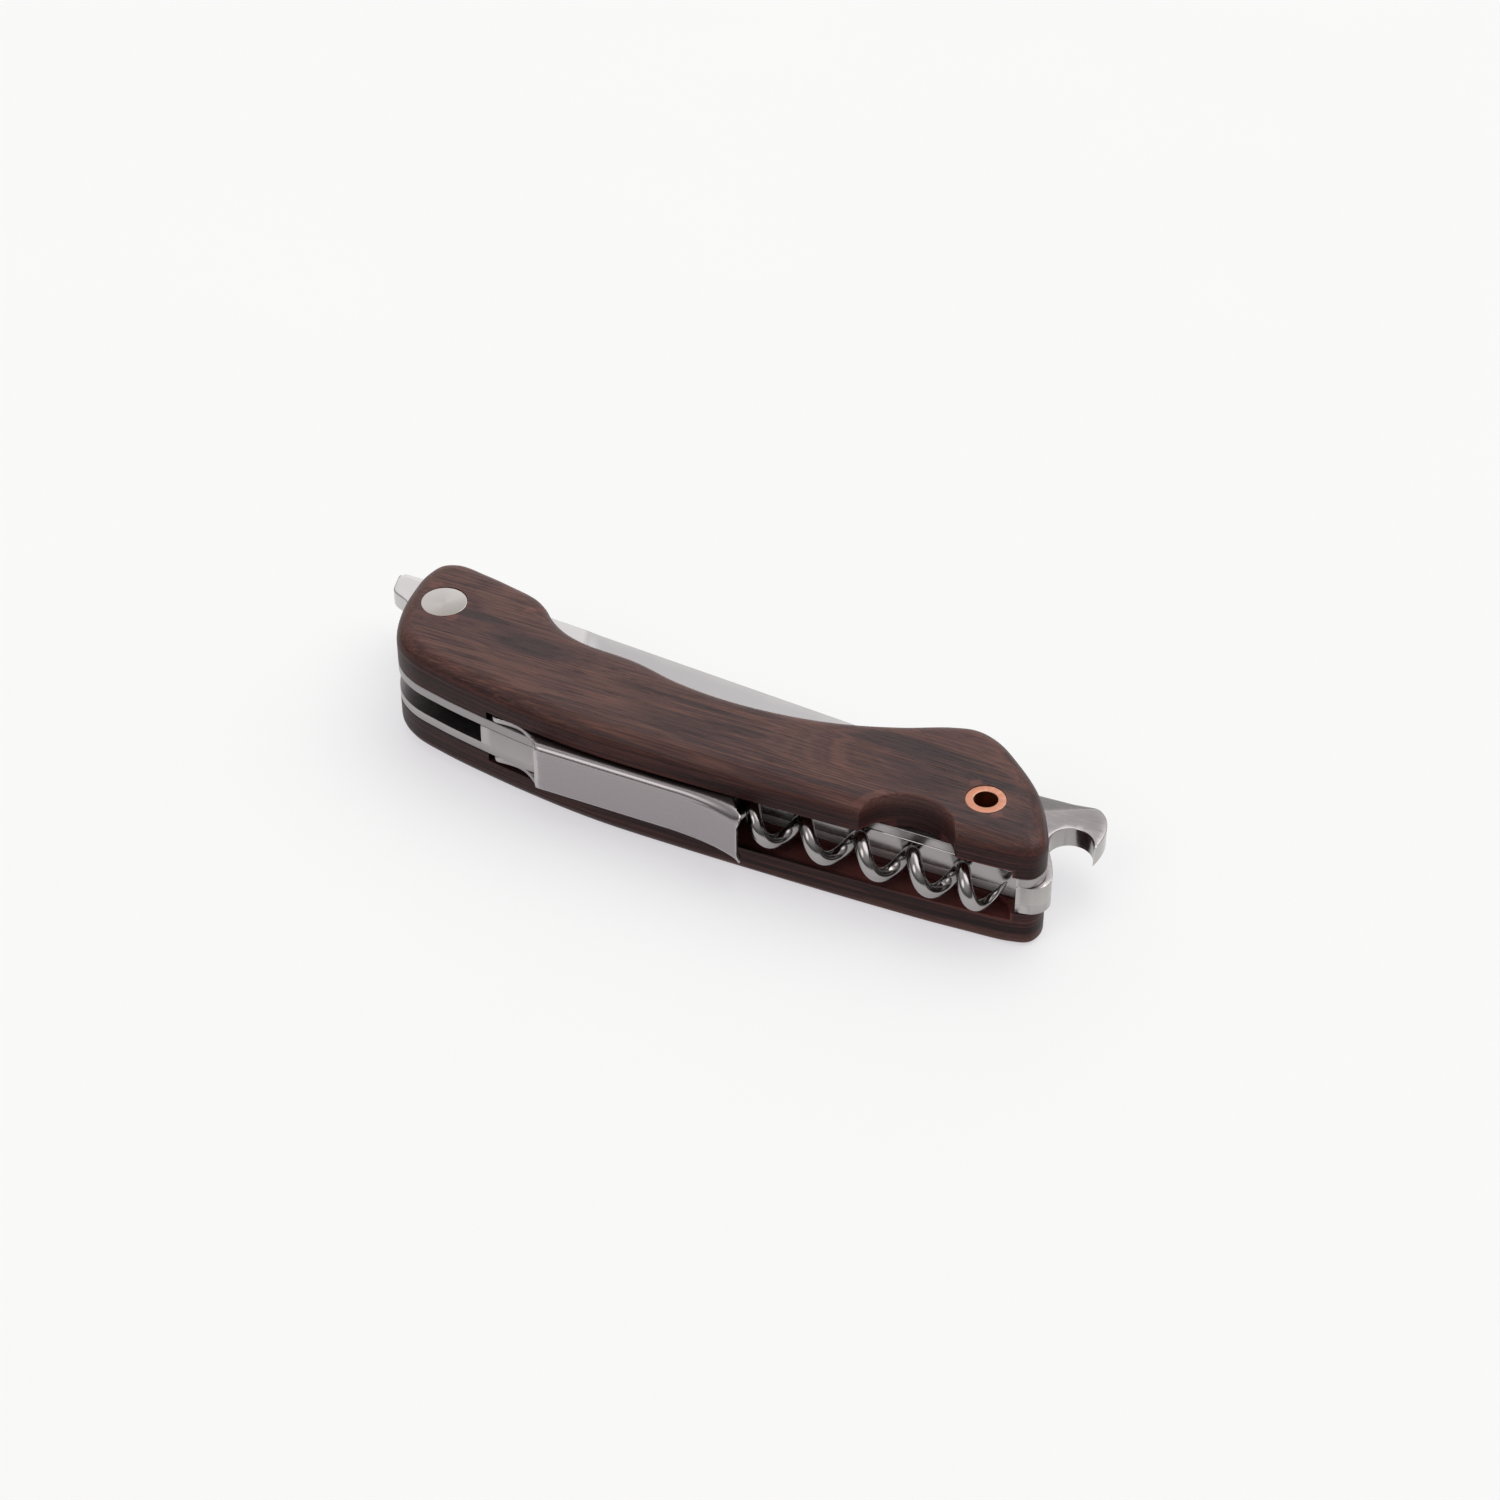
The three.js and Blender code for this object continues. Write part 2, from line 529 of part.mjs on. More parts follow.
function worm() {
  const centres = wormPath();
  const path = new THREE.CatmullRomCurve3(centres);
  const section = new THREE.Shape();
  section.absarc(0, 0, WIRE_RADIUS, 0, 2 * Math.PI, false);
  const steps = centres.length - 1;
  const geometry = new THREE.ExtrudeGeometry(section, {
    steps, extrudePath: path, bevelEnabled: false, curveSegments: 9,
  });
  const rings = path.getSpacedPoints(steps);
  const length = path.getLength();
  const place = geometry.getAttribute("position");
  const at = new THREE.Vector3();
  for (let i = 0; i < place.count; i++) {
    at.fromBufferAttribute(place, i);
    const near = rings.map((ring) => ring.distanceToSquared(at));
    const ring = near.indexOf(Math.min(...near));
    const toEnd = length * (1 - ring / steps);
    const width = THREE.MathUtils.clamp(0.12 + 0.88 * (toEnd / POINT_LENGTH), 0.12, 1);
    at.sub(rings[ring]).multiplyScalar(width).add(rings[ring]);
    place.setXYZ(i, at.x, at.y, at.z);
  }
  return solidOf(geometry);
}
addPiece("worm", worm(), polishedSteel);

export default handle;
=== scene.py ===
"""The looks of a closed waiters corkscrew: laminated rosewood scales over satin steel, with a folding
blade, lever and worm. Plan outlines and section sizes are in millimetres, heights are measured from the
handle's middle plane, and meshes are scaled to metres as they are made."""

import json
import math

import bmesh
import bpy
import numpy as np
from mathutils import Matrix, Vector
from mathutils.geometry import delaunay_2d_cdt


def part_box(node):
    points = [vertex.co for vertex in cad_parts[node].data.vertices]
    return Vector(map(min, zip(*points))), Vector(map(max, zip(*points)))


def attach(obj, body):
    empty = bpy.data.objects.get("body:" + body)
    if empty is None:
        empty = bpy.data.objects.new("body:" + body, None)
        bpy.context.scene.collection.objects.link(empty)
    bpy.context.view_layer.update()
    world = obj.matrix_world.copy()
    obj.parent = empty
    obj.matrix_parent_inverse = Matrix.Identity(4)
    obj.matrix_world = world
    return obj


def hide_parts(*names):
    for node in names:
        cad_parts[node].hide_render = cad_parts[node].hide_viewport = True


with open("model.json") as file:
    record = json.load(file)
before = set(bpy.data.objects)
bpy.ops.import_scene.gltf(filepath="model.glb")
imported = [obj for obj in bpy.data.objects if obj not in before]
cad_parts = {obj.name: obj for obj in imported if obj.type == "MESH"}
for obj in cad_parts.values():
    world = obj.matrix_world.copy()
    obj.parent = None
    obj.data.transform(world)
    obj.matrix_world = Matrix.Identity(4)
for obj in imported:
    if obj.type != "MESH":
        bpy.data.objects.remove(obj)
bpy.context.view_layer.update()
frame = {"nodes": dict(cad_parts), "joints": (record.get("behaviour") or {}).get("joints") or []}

MM = 0.001


# ---- Places and sizes taken from the frame ----

def box_mm(node):
    """Lowest and highest corner of a CAD node, in millimetres."""
    low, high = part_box(node)
    return np.array(low) / MM, np.array(high) / MM


def centre_mm(node):
    """Middle of a CAD node in plan."""
    low, high = box_mm(node)
    return (low + high)[:2] / 2


def radius_mm(node):
    """Radius of a round CAD node."""
    low, high = box_mm(node)
    return (high - low)[0] / 2


def joint_place(name):
    """A hinge's place in plan."""
    joint = next(j for j in frame["joints"] if j["name"] == name)
    return np.array(joint["pos_m"][:2]) / MM


HALF = box_mm("upper_scale")[1][2] / 2
MID_Z = HALF


def top_mm(node):
    """Top of a CAD node, from the middle plane."""
    return box_mm(node)[1][2] - MID_Z


LINER_OUTER = top_mm("upper_liner")
SLOT_HALF = box_mm("upper_liner")[0][2] - MID_Z
BLADE_HALF = top_mm("blade")
BLADE_PIVOT = joint_place("blade_fold")
LEVER_PIVOT = joint_place("lever_swing")
WORM_PIVOT = joint_place("worm_swing")
LANYARD_HOLE = centre_mm("lanyard_tube")
LANYARD_RADIUS = radius_mm("lanyard_tube")
PIVOT_HEAD_RADIUS = radius_mm("blade_pivot_barrel")
HEAD_TOP = top_mm("blade_pivot_barrel")
LEVER_TIP_X = box_mm("lever")[1][0]

# Places and sizes that several pieces share.
CHANNEL_WALL_Y = -2.5  # back wall of the channel that the worm lies in
CHANNEL_END_X = 48.0
LEVER_RUN_X = -27.0  # the plates are cut back under the lever from here
SPACER_PINS = ["front_spacer_pin", "rear_spacer_pin"]
PLAIN_PINS = [*SPACER_PINS, "cap_lifter_pin", "blade_stop_pin", "worm_pivot_pin"]
LEVER_PIN_RADIUS = 1.3
BARREL_RADIUS = 2.5
PLUNGE_X = -34.5  # where the blade's ground bevels start
SEAM = 0.05  # hairline gap between stacked pieces
PRESS_GAP = 0.02
BORE_GAP = 0.03
TURNING_GAP = 0.05

# The handle in plan, anticlockwise from the blade end.
HANDLE_OUTLINE = [
    (-59.4, 12.5), (-58.3, 6.2), (-55.6, 0.4), (-52.1, -2.3), (-46.0, -4.1), (-38.3, -5.6), (-29.0, -7.0),
    (-18.0, -7.9), (-4.0, -7.9), (12.0, -7.5), (28.0, -6.9), (40.0, -6.2), (47.6, -5.5), (50.3, -4.4),
    (51.1, -1.8), (49.5, 2.4), (46.0, 8.2), (40.9, 13.3), (36.4, 16.6), (32.6, 17.6), (28.6, 16.6),
    (21.8, 13.4), (13.5, 10.5), (5.0, 8.9), (-4.0, 8.4), (-12.0, 9.1), (-20.0, 10.9), (-29.0, 11.6),
    (-33.0, 12.8), (-36.2, 14.8), (-38.5, 16.9), (-40.8, 18.3), (-45.6, 19.5), (-50.4, 20.4), (-55.4, 20.9),
    (-58.3, 19.4), (-59.4, 16.4),
]
OUTLINE_STEPS = 12  # points on each stretch of the outline


# ---- Plan curves ----

def closed_curve(knots, steps):
    """A closed centripetal Catmull-Rom curve through the knots."""
    knots = np.array(knots, float)
    before, start, end, after = (np.roll(knots, shift, 0) for shift in (1, 0, -1, -2))
    gaps = [np.sqrt(np.linalg.norm(b - a, axis=1))[:, None]
            for a, b in ((before, start), (start, end), (end, after))]
    g0, g1, g2 = gaps
    leave = g1 * ((start - before) / g0 - (end - before) / (g0 + g1) + (end - start) / g1)
    arrive = g1 * ((end - start) / g1 - (after - start) / (g1 + g2) + (after - end) / g2)
    t = np.linspace(0, 1, steps, endpoint=False)[None, :, None]
    a, b, m, n = (v[:, None, :] for v in (start, end, leave, arrive))
    path = a + m * t + (3 * b - 3 * a - 2 * m - n) * t**2 + (2 * a - 2 * b + m + n) * t**3
    return path.reshape(-1, 2)


def arc(centre, radius, start, end, steps):
    """Points on an arc between two angles in degrees."""
    angles = np.radians(np.linspace(start, end, steps))
    return np.stack([centre[0] + radius * np.cos(angles), centre[1] + radius * np.sin(angles)], 1)


def bezier(*controls, steps=12):
    """Points on a quadratic or cubic curve, without its first point."""
    points = [np.array(c, float) for c in controls]
    t = np.linspace(0, 1, steps + 1)[1:, None]
    while len(points) > 1:
        points = [a + (b - a) * t for a, b in zip(points, points[1:])]
    return points[0]


def path(*parts):
    """One array of points from single points and arrays of points."""
    return np.vstack([np.atleast_2d(np.array(p, float)) for p in parts])


def circle(centre, radius, sides=64):
    """A hole's loop, clockwise."""
    return arc(centre, radius, 360, 0, sides + 1)[:-1]


def disc(centre, radius, sides=64):
    """A round solid's loop, anticlockwise."""
    return arc(centre, radius, 0, 360, sides + 1)[:-1]


def pin_hole(node):
    return circle(centre_mm(node), radius_mm(node) + BORE_GAP, 40)


def lever_pin_hole():
    return circle(LEVER_PIVOT, LEVER_PIN_RADIUS + BORE_GAP, 40)


def lanyard_hole():
    return circle(LANYARD_HOLE, LANYARD_RADIUS + PRESS_GAP)


def resampled(loop, longest):
    """The loop with its long edges divided."""
    points = []
    for a, b in zip(loop, np.roll(loop, -1, 0)):
        pieces = max(1, math.ceil(np.linalg.norm(b - a) / longest))
        points += [a + (b - a) * i / pieces for i in range(pieces)]
    return np.array(points)


def belly_height(x):
    """Y of the handle's belly edge at x."""
    belly = outline[(outline[:, 1] < 0) & (outline[:, 0] > -55)]
    belly = belly[np.argsort(belly[:, 0])]
    return float(np.interp(x, belly[:, 0], belly[:, 1]))


def on_belly(from_x, to_x):
    """Which of the outline's points lie on its belly edge between two places in X."""
    return (outline[:, 1] < 0) & (outline[:, 0] > from_x - 0.02) & (outline[:, 0] < to_x + 0.02)


def with_gap(gone, inner):
    """The outline with one run of its points replaced by an inner path."""
    start = int(np.flatnonzero(gone)[0])
    return np.vstack([outline[:start], inner, outline[start + int(gone.sum()):]])


outline = closed_curve(HANDLE_OUTLINE, OUTLINE_STEPS)


# ---- Solids from plan loops ----

def edge_distance(points, loops):
    """Distance of each point from the nearest loop."""
    nearest = np.full(len(points), np.inf)
    for loop in loops:
        for a, b in zip(loop, np.roll(loop, -1, 0)):
            along = b - a
            t = np.clip((points - a) @ along / max(along @ along, 1e-12), 0, 1)
            nearest = np.minimum(nearest, np.linalg.norm(points - a - t[:, None] * along, axis=1))
    return nearest


def inside(points, loop):
    """Which points lie inside the loop."""
    x, y = points[:, 0], points[:, 1]
    crossed = np.zeros(len(points), bool)
    for (ax, ay), (bx, by) in zip(loop, np.roll(loop, -1, 0)):
        if ay != by:
            crossed ^= ((ay > y) != (by > y)) & (x < (bx - ax) * (y - ay) / (by - ay) + ax)
    return crossed


def filled(points, loops):
    """Which points lie inside the first loop and outside the others."""
    kept = inside(points, loops[0])
    for hole in loops[1:]:
        kept &= ~inside(points, hole)
    return kept


def inner_points(loops, rims, spacing):
    """Rings of points at the given distances inside the loops, and a grid with the given spacing in the
    middle."""
    found = []
    for rim in rims:
        for loop in loops:
            along = np.roll(loop, -1, 0) - np.roll(loop, 1, 0)
            inward = np.stack([-along[:, 1], along[:, 0]], 1) / np.linalg.norm(along, axis=1)[:, None]
            ring = loop + inward * rim
            found.append(ring[filled(ring, loops) & (edge_distance(ring, loops) > rim * 0.985)])
    if spacing:
        low, high = loops[0].min(0), loops[0].max(0)
        rows = np.arange(low[1], high[1], spacing * 0.87)
        xs, ys = np.meshgrid(np.arange(low[0], high[0], spacing), rows)
        xs[1::2] += spacing / 2
        grid = np.stack([xs.ravel(), ys.ravel()], 1)
        grid = grid[filled(grid, loops)]
        found.append(grid[edge_distance(grid, loops) > (rims[-1] if rims else 0) + spacing * 0.5])
    return np.vstack(found) if found else np.zeros((0, 2))


def triangulated(loops, extra):
    """Places, triangles and each loop's vertex numbers of a plan region."""
    points = np.vstack([*loops, extra])
    edges, first = [], 0
    for loop in loops:
        edges += [(first + i, first + (i + 1) % len(loop)) for i in range(len(loop))]
        first += len(loop)
    places, _, faces, sources, _, _ = delaunay_2d_cdt([Vector(p) for p in points], edges, [], 0, 1e-6)
    places, faces = np.array([tuple(p) for p in places]), np.array(faces)
    faces = faces[filled(places[faces].mean(1), loops)]
    number = {source: i for i, group in enumerate(sources) for source in group}
    rings, first = [], 0
    for loop in loops:
        rings.append([number[first + i] for i in range(len(loop))])
        first += len(loop)
    return places, faces, rings


def relief(loops, over, under, rims=(), spacing=0.0, extra=None):
    """Vertices and faces of a solid between two heights over a plan region. Each height is a number or a
    function of the points and their distance from the edge."""
    inner = inner_points(loops, rims, spacing)
    if extra is not None:
        inner = np.vstack([inner, extra[filled(extra, loops)]])
    vertices, faces, walls = [], [], []
    for height, flip in ((over, False), (under, True)):
        flat = not callable(height)
        places, triangles, rings = triangulated(loops, np.zeros((0, 2)) if flat else inner)
        level = np.full(len(places), height) if flat else height(places, edge_distance(places, loops))
        first = len(vertices)
        vertices += [(x, y, z) for (x, y), z in zip(places, level)]
        faces += [tuple(int(i) + first for i in (t[::-1] if flip else t)) for t in triangles]
        walls.append([[i + first for i in ring] for ring in rings])
    for top, bottom in zip(*walls):
        count = len(top)
        faces += [(bottom[i], bottom[(i + 1) % count], top[(i + 1) % count], top[i]) for i in range(count)]
    return vertices, faces


def rounded(reach, drop):
    """How far a rounded edge falls below the flat, by distance from the edge."""
    def fall(distance):
        share = np.clip((reach - distance) / reach, 0, 1)
        return drop * (1 - (1 - share**2) ** 0.5)
    return fall


def eased(value, low, high):
    """0 below low, 1 above high, and a smooth rise between."""
    share = np.clip((value - low) / (high - low), 0, 1)
    return share * share * (3 - 2 * share)


def rim_steps(reach, count=6):
    """Distances from the edge that follow a quarter round."""
    return [reach * (1 - math.cos(math.pi / 2 * (i + 1) / count)) for i in range(count)]


def prism(points, low, high):
    """A straight-sided solid over a plan loop."""
    return relief([np.array(points, float)], high, low)


def turned(profile, place, sides=72):
    """A solid of revolution about Z at a place in plan, from a profile of radius and height."""
    vertices, faces, rings = [], [], []
    for radius, height in profile:
        if radius < 1e-6:
            rings.append([len(vertices)] * sides)
            vertices.append((place[0], place[1], height))
            continue
        rings.append(list(range(len(vertices), len(vertices) + sides)))
        vertices += [(x, y, height) for x, y in disc(place, radius, sides)]
    closed = rings + [rings[0]] if profile[0][0] > 1e-6 else rings
    for lower, upper in zip(closed, closed[1:]):
        for i in range(sides):
            j = (i + 1) % sides
            corners = [lower[i], lower[j], upper[j], upper[i]]
            corners = [c for k, c in enumerate(corners) if c != corners[k - 1]]
            if len(corners) > 2:
                faces.append(tuple(corners))
    return vertices, faces


def fillet(corner, toward_start, toward_end, radius, steps=5):
    """A rounded profile corner."""
    corner = np.array(corner, float)
    directions = [np.array(p, float) - corner for p in (toward_start, toward_end)]
    start, end = (corner + radius * d / np.linalg.norm(d) for d in directions)
    return [tuple(p) for p in path(start, bezier(start, corner, end, steps=steps))]


# ---- Pieces ----

def mesh_object(name, solid):
    vertices, faces = solid
    mesh = bpy.data.meshes.new(name)
    mesh.from_pydata([(x * MM, y * MM, (z + MID_Z) * MM) for x, y, z in vertices], [], faces)
    shell = bmesh.new()
    shell.from_mesh(mesh)
    bmesh.ops.recalc_face_normals(shell, faces=shell.faces)
    shell.to_mesh(mesh)
    shell.free()
    made = bpy.data.objects.new(name, mesh)
    bpy.context.scene.collection.objects.link(made)
    return made


def carve(target, *tools):
    """Cuts solids out of an object's mesh."""
    cutters = [mesh_object("cutter", tool) for tool in tools]
    for cutter in cutters:
        step = target.modifiers.new("cut", "BOOLEAN")
        step.operation, step.solver, step.object = "DIFFERENCE", "EXACT", cutter
    graph = bpy.context.evaluated_depsgraph_get()
    mesh = bpy.data.meshes.new_from_object(target.evaluated_get(graph))
    target.modifiers.clear()
    target.data = mesh
    for cutter in cutters:
        bpy.data.objects.remove(cutter)


def place_piece(made, node, body, slot, sharp=32, finish=None):
    """Shades a piece, and puts it in the place of its CAD node. Faces that meet at more than the sharp
    angle keep a crisp edge, and the finish is a look other than the slot's own."""
    made.data.polygons.foreach_set("use_smooth", [True] * len(made.data.polygons))
    made.data.set_sharp_from_angle(angle=math.radians(sharp))
    weighted = made.modifiers.new("weighted", "WEIGHTED_NORMAL")
    weighted.keep_sharp = True
    made.data.materials.clear()
    made.data.materials.append(LOOKS[finish or slot].material)
    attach(made, body)
    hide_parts(node)
    return made


# ---- Materials ----

def linear(*rgb):
    """A colour given as 0 to 255 display values, as linear light."""
    return tuple(c / 255 / 12.92 if c <= 10 else ((c / 255 + 0.055) / 1.055) ** 2.4 for c in rgb)


class Nodes:
    """A node tree being put together."""

    def __init__(self, tree):
        self.tree = tree

    def node(self, kind, **settings):
        made = self.tree.nodes.new(kind)
        for key, value in settings.items():
            setattr(made, key, value)
        return made

    def feed(self, socket, value):
        if isinstance(value, bpy.types.NodeSocket):
            self.tree.links.new(value, socket)
        else:
            socket.default_value = value

    def math(self, operation, *values):
        made = self.node("ShaderNodeMath", operation=operation)
        for socket, value in zip(made.inputs, values):
            self.feed(socket, value)
        return made.outputs[0]

    def plus(self, *values):
        total = values[0]
        for value in values[1:]:
            total = self.math("ADD", total, value)
        return total

    def times(self, a, b):
        return self.math("MULTIPLY", a, b)

    def separate(self, vector):
        made = self.node("ShaderNodeSeparateXYZ")
        self.feed(made.inputs[0], vector)
        return list(made.outputs)

    def vector(self, x, y, z):
        made = self.node("ShaderNodeCombineXYZ")
        for socket, value in zip(made.inputs, (x, y, z)):
            self.feed(socket, value)
        return made.outputs[0]

    def noise(self, vector, detail, roughness=0.5):
        made = self.node("ShaderNodeTexNoise")
        self.feed(made.inputs["Vector"], vector)
        made.inputs["Scale"].default_value = 1.0
        made.inputs["Detail"].default_value = detail
        made.inputs["Roughness"].default_value = roughness
        return made.outputs[0]

    def remap(self, value, low, high, to_low=0.0, to_high=1.0, **settings):
        made = self.node("ShaderNodeMapRange", **settings)
        self.feed(made.inputs[0], value)
        for socket, number in zip(list(made.inputs)[1:5], (low, high, to_low, to_high)):
            socket.default_value = number
        return made.outputs[0]

    def ramp(self, value, *stops):
        made = self.node("ShaderNodeValToRGB")
        self.feed(made.inputs[0], value)
        elements = made.color_ramp.elements
        while len(elements) < len(stops):
            elements.new(0.5)
        for element, (position, colour) in zip(elements, stops):
            element.position = position
            element.color = (*colour, 1)
        return made.outputs[0]

    def tinted(self, share, colour, *rgb):
        """The colour with a share of another, given as 0 to 255 display values."""
        made = self.node("ShaderNodeMix", data_type="RGBA")
        self.feed(made.inputs[0], share)
        self.feed(made.inputs[6], colour)
        self.feed(made.inputs[7], (*linear(*rgb), 1))
        return made.outputs[2]

    def blob(self, x, y, centre, reach):
        """A soft round or oval patch in plan, 1 in its middle."""
        across = [self.math("POWER", self.times(self.plus(axis, -c), 1 / r), 2.0)
                  for axis, c, r in zip((x, y), centre, reach)]
        return self.math("EXPONENT", self.times(self.plus(*across), -1.0))

    def bump(self, height, depth):
        """A normal from a height in shares of depth millimetres."""
        made = self.node("ShaderNodeBump")
        made.inputs["Distance"].default_value = depth * MM
        self.feed(made.inputs["Height"], height)
        return made.outputs[0]

    def edges(self):
        """1 on convex edges, 0 on flats."""
        return self.remap(self.node("ShaderNodeNewGeometry").outputs["Pointiness"], 0.5, 0.56)


class Look(Nodes):
    """A material being put together. Texture sizes are in millimetres."""

    def __init__(self, name, **values):
        self.material = bpy.data.materials.new(name)
        self.material.use_nodes = True
        super().__init__(self.material.node_tree)
        self.shader = next(n for n in self.tree.nodes if n.type == "BSDF_PRINCIPLED")
        self.place = self.node("ShaderNodeTexCoord").outputs["Object"]
        self.set(**values)

    def set(self, **sockets):
        for name, value in sockets.items():
            self.feed(self.shader.inputs[name.replace("_", " ")], value)
        return self

    def axes(self):
        """X, Y and Z in millimetres."""
        return [self.times(out, 1 / MM) for out in self.separate(self.place)]

    def stretched(self, sizes):
        """The place divided by a size along each axis."""
        made = self.node("ShaderNodeMapping")
        self.feed(made.inputs["Vector"], self.place)
        made.inputs["Scale"].default_value = [1 / (size * MM) for size in sizes]
        return made.outputs[0]


def rosewood():
    """Laminated rosewood: thin warped layers that show as swirls on the faces and as lines on the sides."""
    look = Look("rosewood", IOR=1.45)
    x, y, z = look.axes()
    height = look.math("ABSOLUTE", look.plus(z, -MID_Z))

    swirl = look.plus(
        look.times(look.blob(x, y, (-35, 5.5), (11, 3.2)), 2.0),
        look.times(look.blob(x, y, (31, 4.5), (15, 5.5)), 3.2),
        look.times(look.blob(x, y, (-54, 8), (9, 8)), 1.0),
    )
    drift = look.times(look.noise(look.stretched((70, 13, 30)), 2.0), 4.4)
    ripple = look.times(look.noise(look.stretched((34, 2.2, 9)), 3.0), 1.7)
    layer = look.plus(z, swirl, drift, ripple)
    bands = look.noise(look.vector(look.times(x, 0.010), look.times(layer, 0.55), 3.7), 3.0, 0.6)
    lines = look.noise(look.vector(look.times(x, 0.02), look.times(layer, 1.7), 8.1), 3.0, 0.6)
    fibre = look.noise(look.stretched((15.0, 0.24, 0.24)), 4.0, 0.62)
    pore = look.remap(look.noise(look.stretched((3.4, 0.13, 0.13)), 2.0), 0.62, 0.70)

    colour = look.ramp(
        bands,
        (0.30, linear(30, 19, 22)), (0.41, linear(58, 37, 37)), (0.49, linear(84, 56, 50)),
        (0.57, linear(68, 43, 42)), (0.68, linear(94, 62, 52)),
    )
    colour = look.tinted(look.remap(lines, 0.47, 0.60, 0.0, 0.6), colour, 40, 24, 26)
    colour = look.tinted(look.remap(fibre, 0.50, 0.66, 0.0, 0.45), colour, 124, 80, 64)
    colour = look.tinted(look.remap(fibre, 0.48, 0.36, 0.0, 0.5), colour, 34, 20, 22)

    # Dark smoky streaks on the faces.
    smoke = look.plus(
        look.blob(x, y, (-35.5, 5.8), (7.5, 2.2)), look.blob(x, y, (-46, 9.0), (6, 1.0)),
        look.blob(x, y, (24, 8.5), (9, 1.4)), look.blob(x, y, (43, 5.8), (7, 0.9)),
        look.blob(x, y, (37, -1.8), (8, 0.8)), look.times(look.blob(x, y, (47, 0.5), (5, 4.5)), 0.6),
    )
    smoke = look.times(smoke, look.remap(ripple, 0.55, 0.85, 0.2, 1.0))
    colour = look.tinted(look.math("MINIMUM", look.times(smoke, 0.8), 0.65), colour, 34, 28, 32)

    # The sides are darkened by height: partly painted shade, partly darker edge grain, with the edges of the
    # layers on them.
    side_shade_and_layers = look.remap(height, 8.9, 7.2)
    colour = look.tinted(look.times(side_shade_and_layers, 0.72), colour, 30, 9, 12)
    layers = look.noise(look.vector(look.times(x, 0.03), look.times(y, 0.03), look.times(z, 2.7)), 2.0, 0.6)
    colour = look.tinted(look.times(side_shade_and_layers, look.remap(layers, 0.52, 0.66, 0.0, 0.35)), colour, 104, 58, 52)
    colour = look.tinted(look.times(side_shade_and_layers, look.remap(layers, 0.48, 0.38, 0.0, 0.6)), colour, 16, 8, 10)

    # Painted light: the floor of the hollow beside the worm is lightened, as if lit.
    hollow_painted_light = look.remap(height, LINER_OUTER + 1.7, LINER_OUTER + 1.45)
    for axis, low, high in ((x, -7.0, -5.0), (x, 48.0, 47.4), (y, -7.2, -6.2), (y, -2.3, -2.7)):
        hollow_painted_light = look.times(hollow_painted_light, look.remap(axis, low, high))
    colour = look.tinted(look.times(hollow_painted_light, 0.4), colour, 124, 68, 62)

    colour = look.tinted(look.times(pore, 0.4), colour, 22, 13, 14)
    # Painted highlight, partly worn wood: convex edges on the faces, away from the sides, are tinted light
    # red-brown.
    rim = look.times(look.edges(), look.plus(look.times(side_shade_and_layers, -1.0), 1.0))
    colour = look.tinted(look.times(rim, 0.3), colour, 124, 76, 64)
    relief_height = look.plus(look.times(fibre, 0.6), look.times(lines, 0.4), look.times(pore, -0.8))
    return look.set(
        Base_Color=colour,
        Roughness=look.plus(look.remap(fibre, 0.3, 0.75, 0.36, 0.50), look.times(pore, 0.2)),
        Specular_IOR_Level=look.remap(side_shade_and_layers, 0.0, 1.0, 0.3, 0.18),
        Normal=look.bump(relief_height, 0.03),
    )


def steel(name, colour, roughness, grain, streak=0.06, depth=0.004, contrast=0.12, lighter=None, **values):
    """Steel with a directional finish. Grain gives the size of its scratches along each axis, streak how
    much they change the roughness, and lighter a look's share of lighter colour: finer polish on the
    blade's tang, and a painted reflection across the pivot's head."""
    look = Look(name, Metallic=1.0, **values)
    scratches = look.noise(look.stretched(grain), 4.0, 0.65)
    clouds = look.noise(look.stretched((7, 7, 7)), 3.0, 0.55)
    shade = look.plus(look.times(scratches, 0.6), look.times(clouds, 0.4))
    dark, light = (tuple(c * share for c in linear(*colour)) for share in (1 - contrast, 1 + contrast))
    base = look.ramp(shade, (0.30, dark), (0.70, light))
    # Painted highlight, partly worn steel: convex edges are tinted near white.
    base = look.tinted(look.times(look.edges(), 0.36), base, 235, 232, 228)
    if lighter:
        base = look.tinted(look.times(lighter(look), 0.5), base, 214, 211, 210)
    rough = look.plus(
        look.remap(scratches, 0.3, 0.7, roughness - streak, roughness + streak),
        look.remap(clouds, 0.3, 0.7, -streak / 2, streak / 2),
    )
    return look.set(Base_Color=base, Roughness=rough, Normal=look.bump(scratches, depth))


def ricasso(look):
    """1 on the blade's unground tang, 0 beyond the plunge."""
    x, y, _ = look.axes()
    return look.remap(look.plus(x, look.times(y, 0.35)), PLUNGE_X + 8.2, PLUNGE_X + 7.4)


def from_pivot(look):
    """X and Y from the blade's pivot."""
    x, y, _ = look.axes()
    return [look.plus(axis, -float(place)) for axis, place in zip((x, y), BLADE_PIVOT)]


def painted_sheen(look):
    """Painted reflection: a light patch that rises across the pivot's head, from the belly side to the far
    left.
    """
    x, y = from_pivot(look)
    return look.remap(look.plus(look.times(x, -0.6), look.times(y, 0.8)), -3.4, 3.0)


def turned_steel():
    """Steel with rings from the lathe round the blade's pivot, and a painted reflection across its head."""
    look = steel(
        "turned_steel", (150, 145, 140), 0.26, (0.5, 0.5, 6.0), lighter=painted_sheen, Anisotropic=0.7, **SMOOTH)
    x, y = from_pivot(look)
    return look.set(Tangent=look.vector(look.times(y, -1.0), x, 0.0))


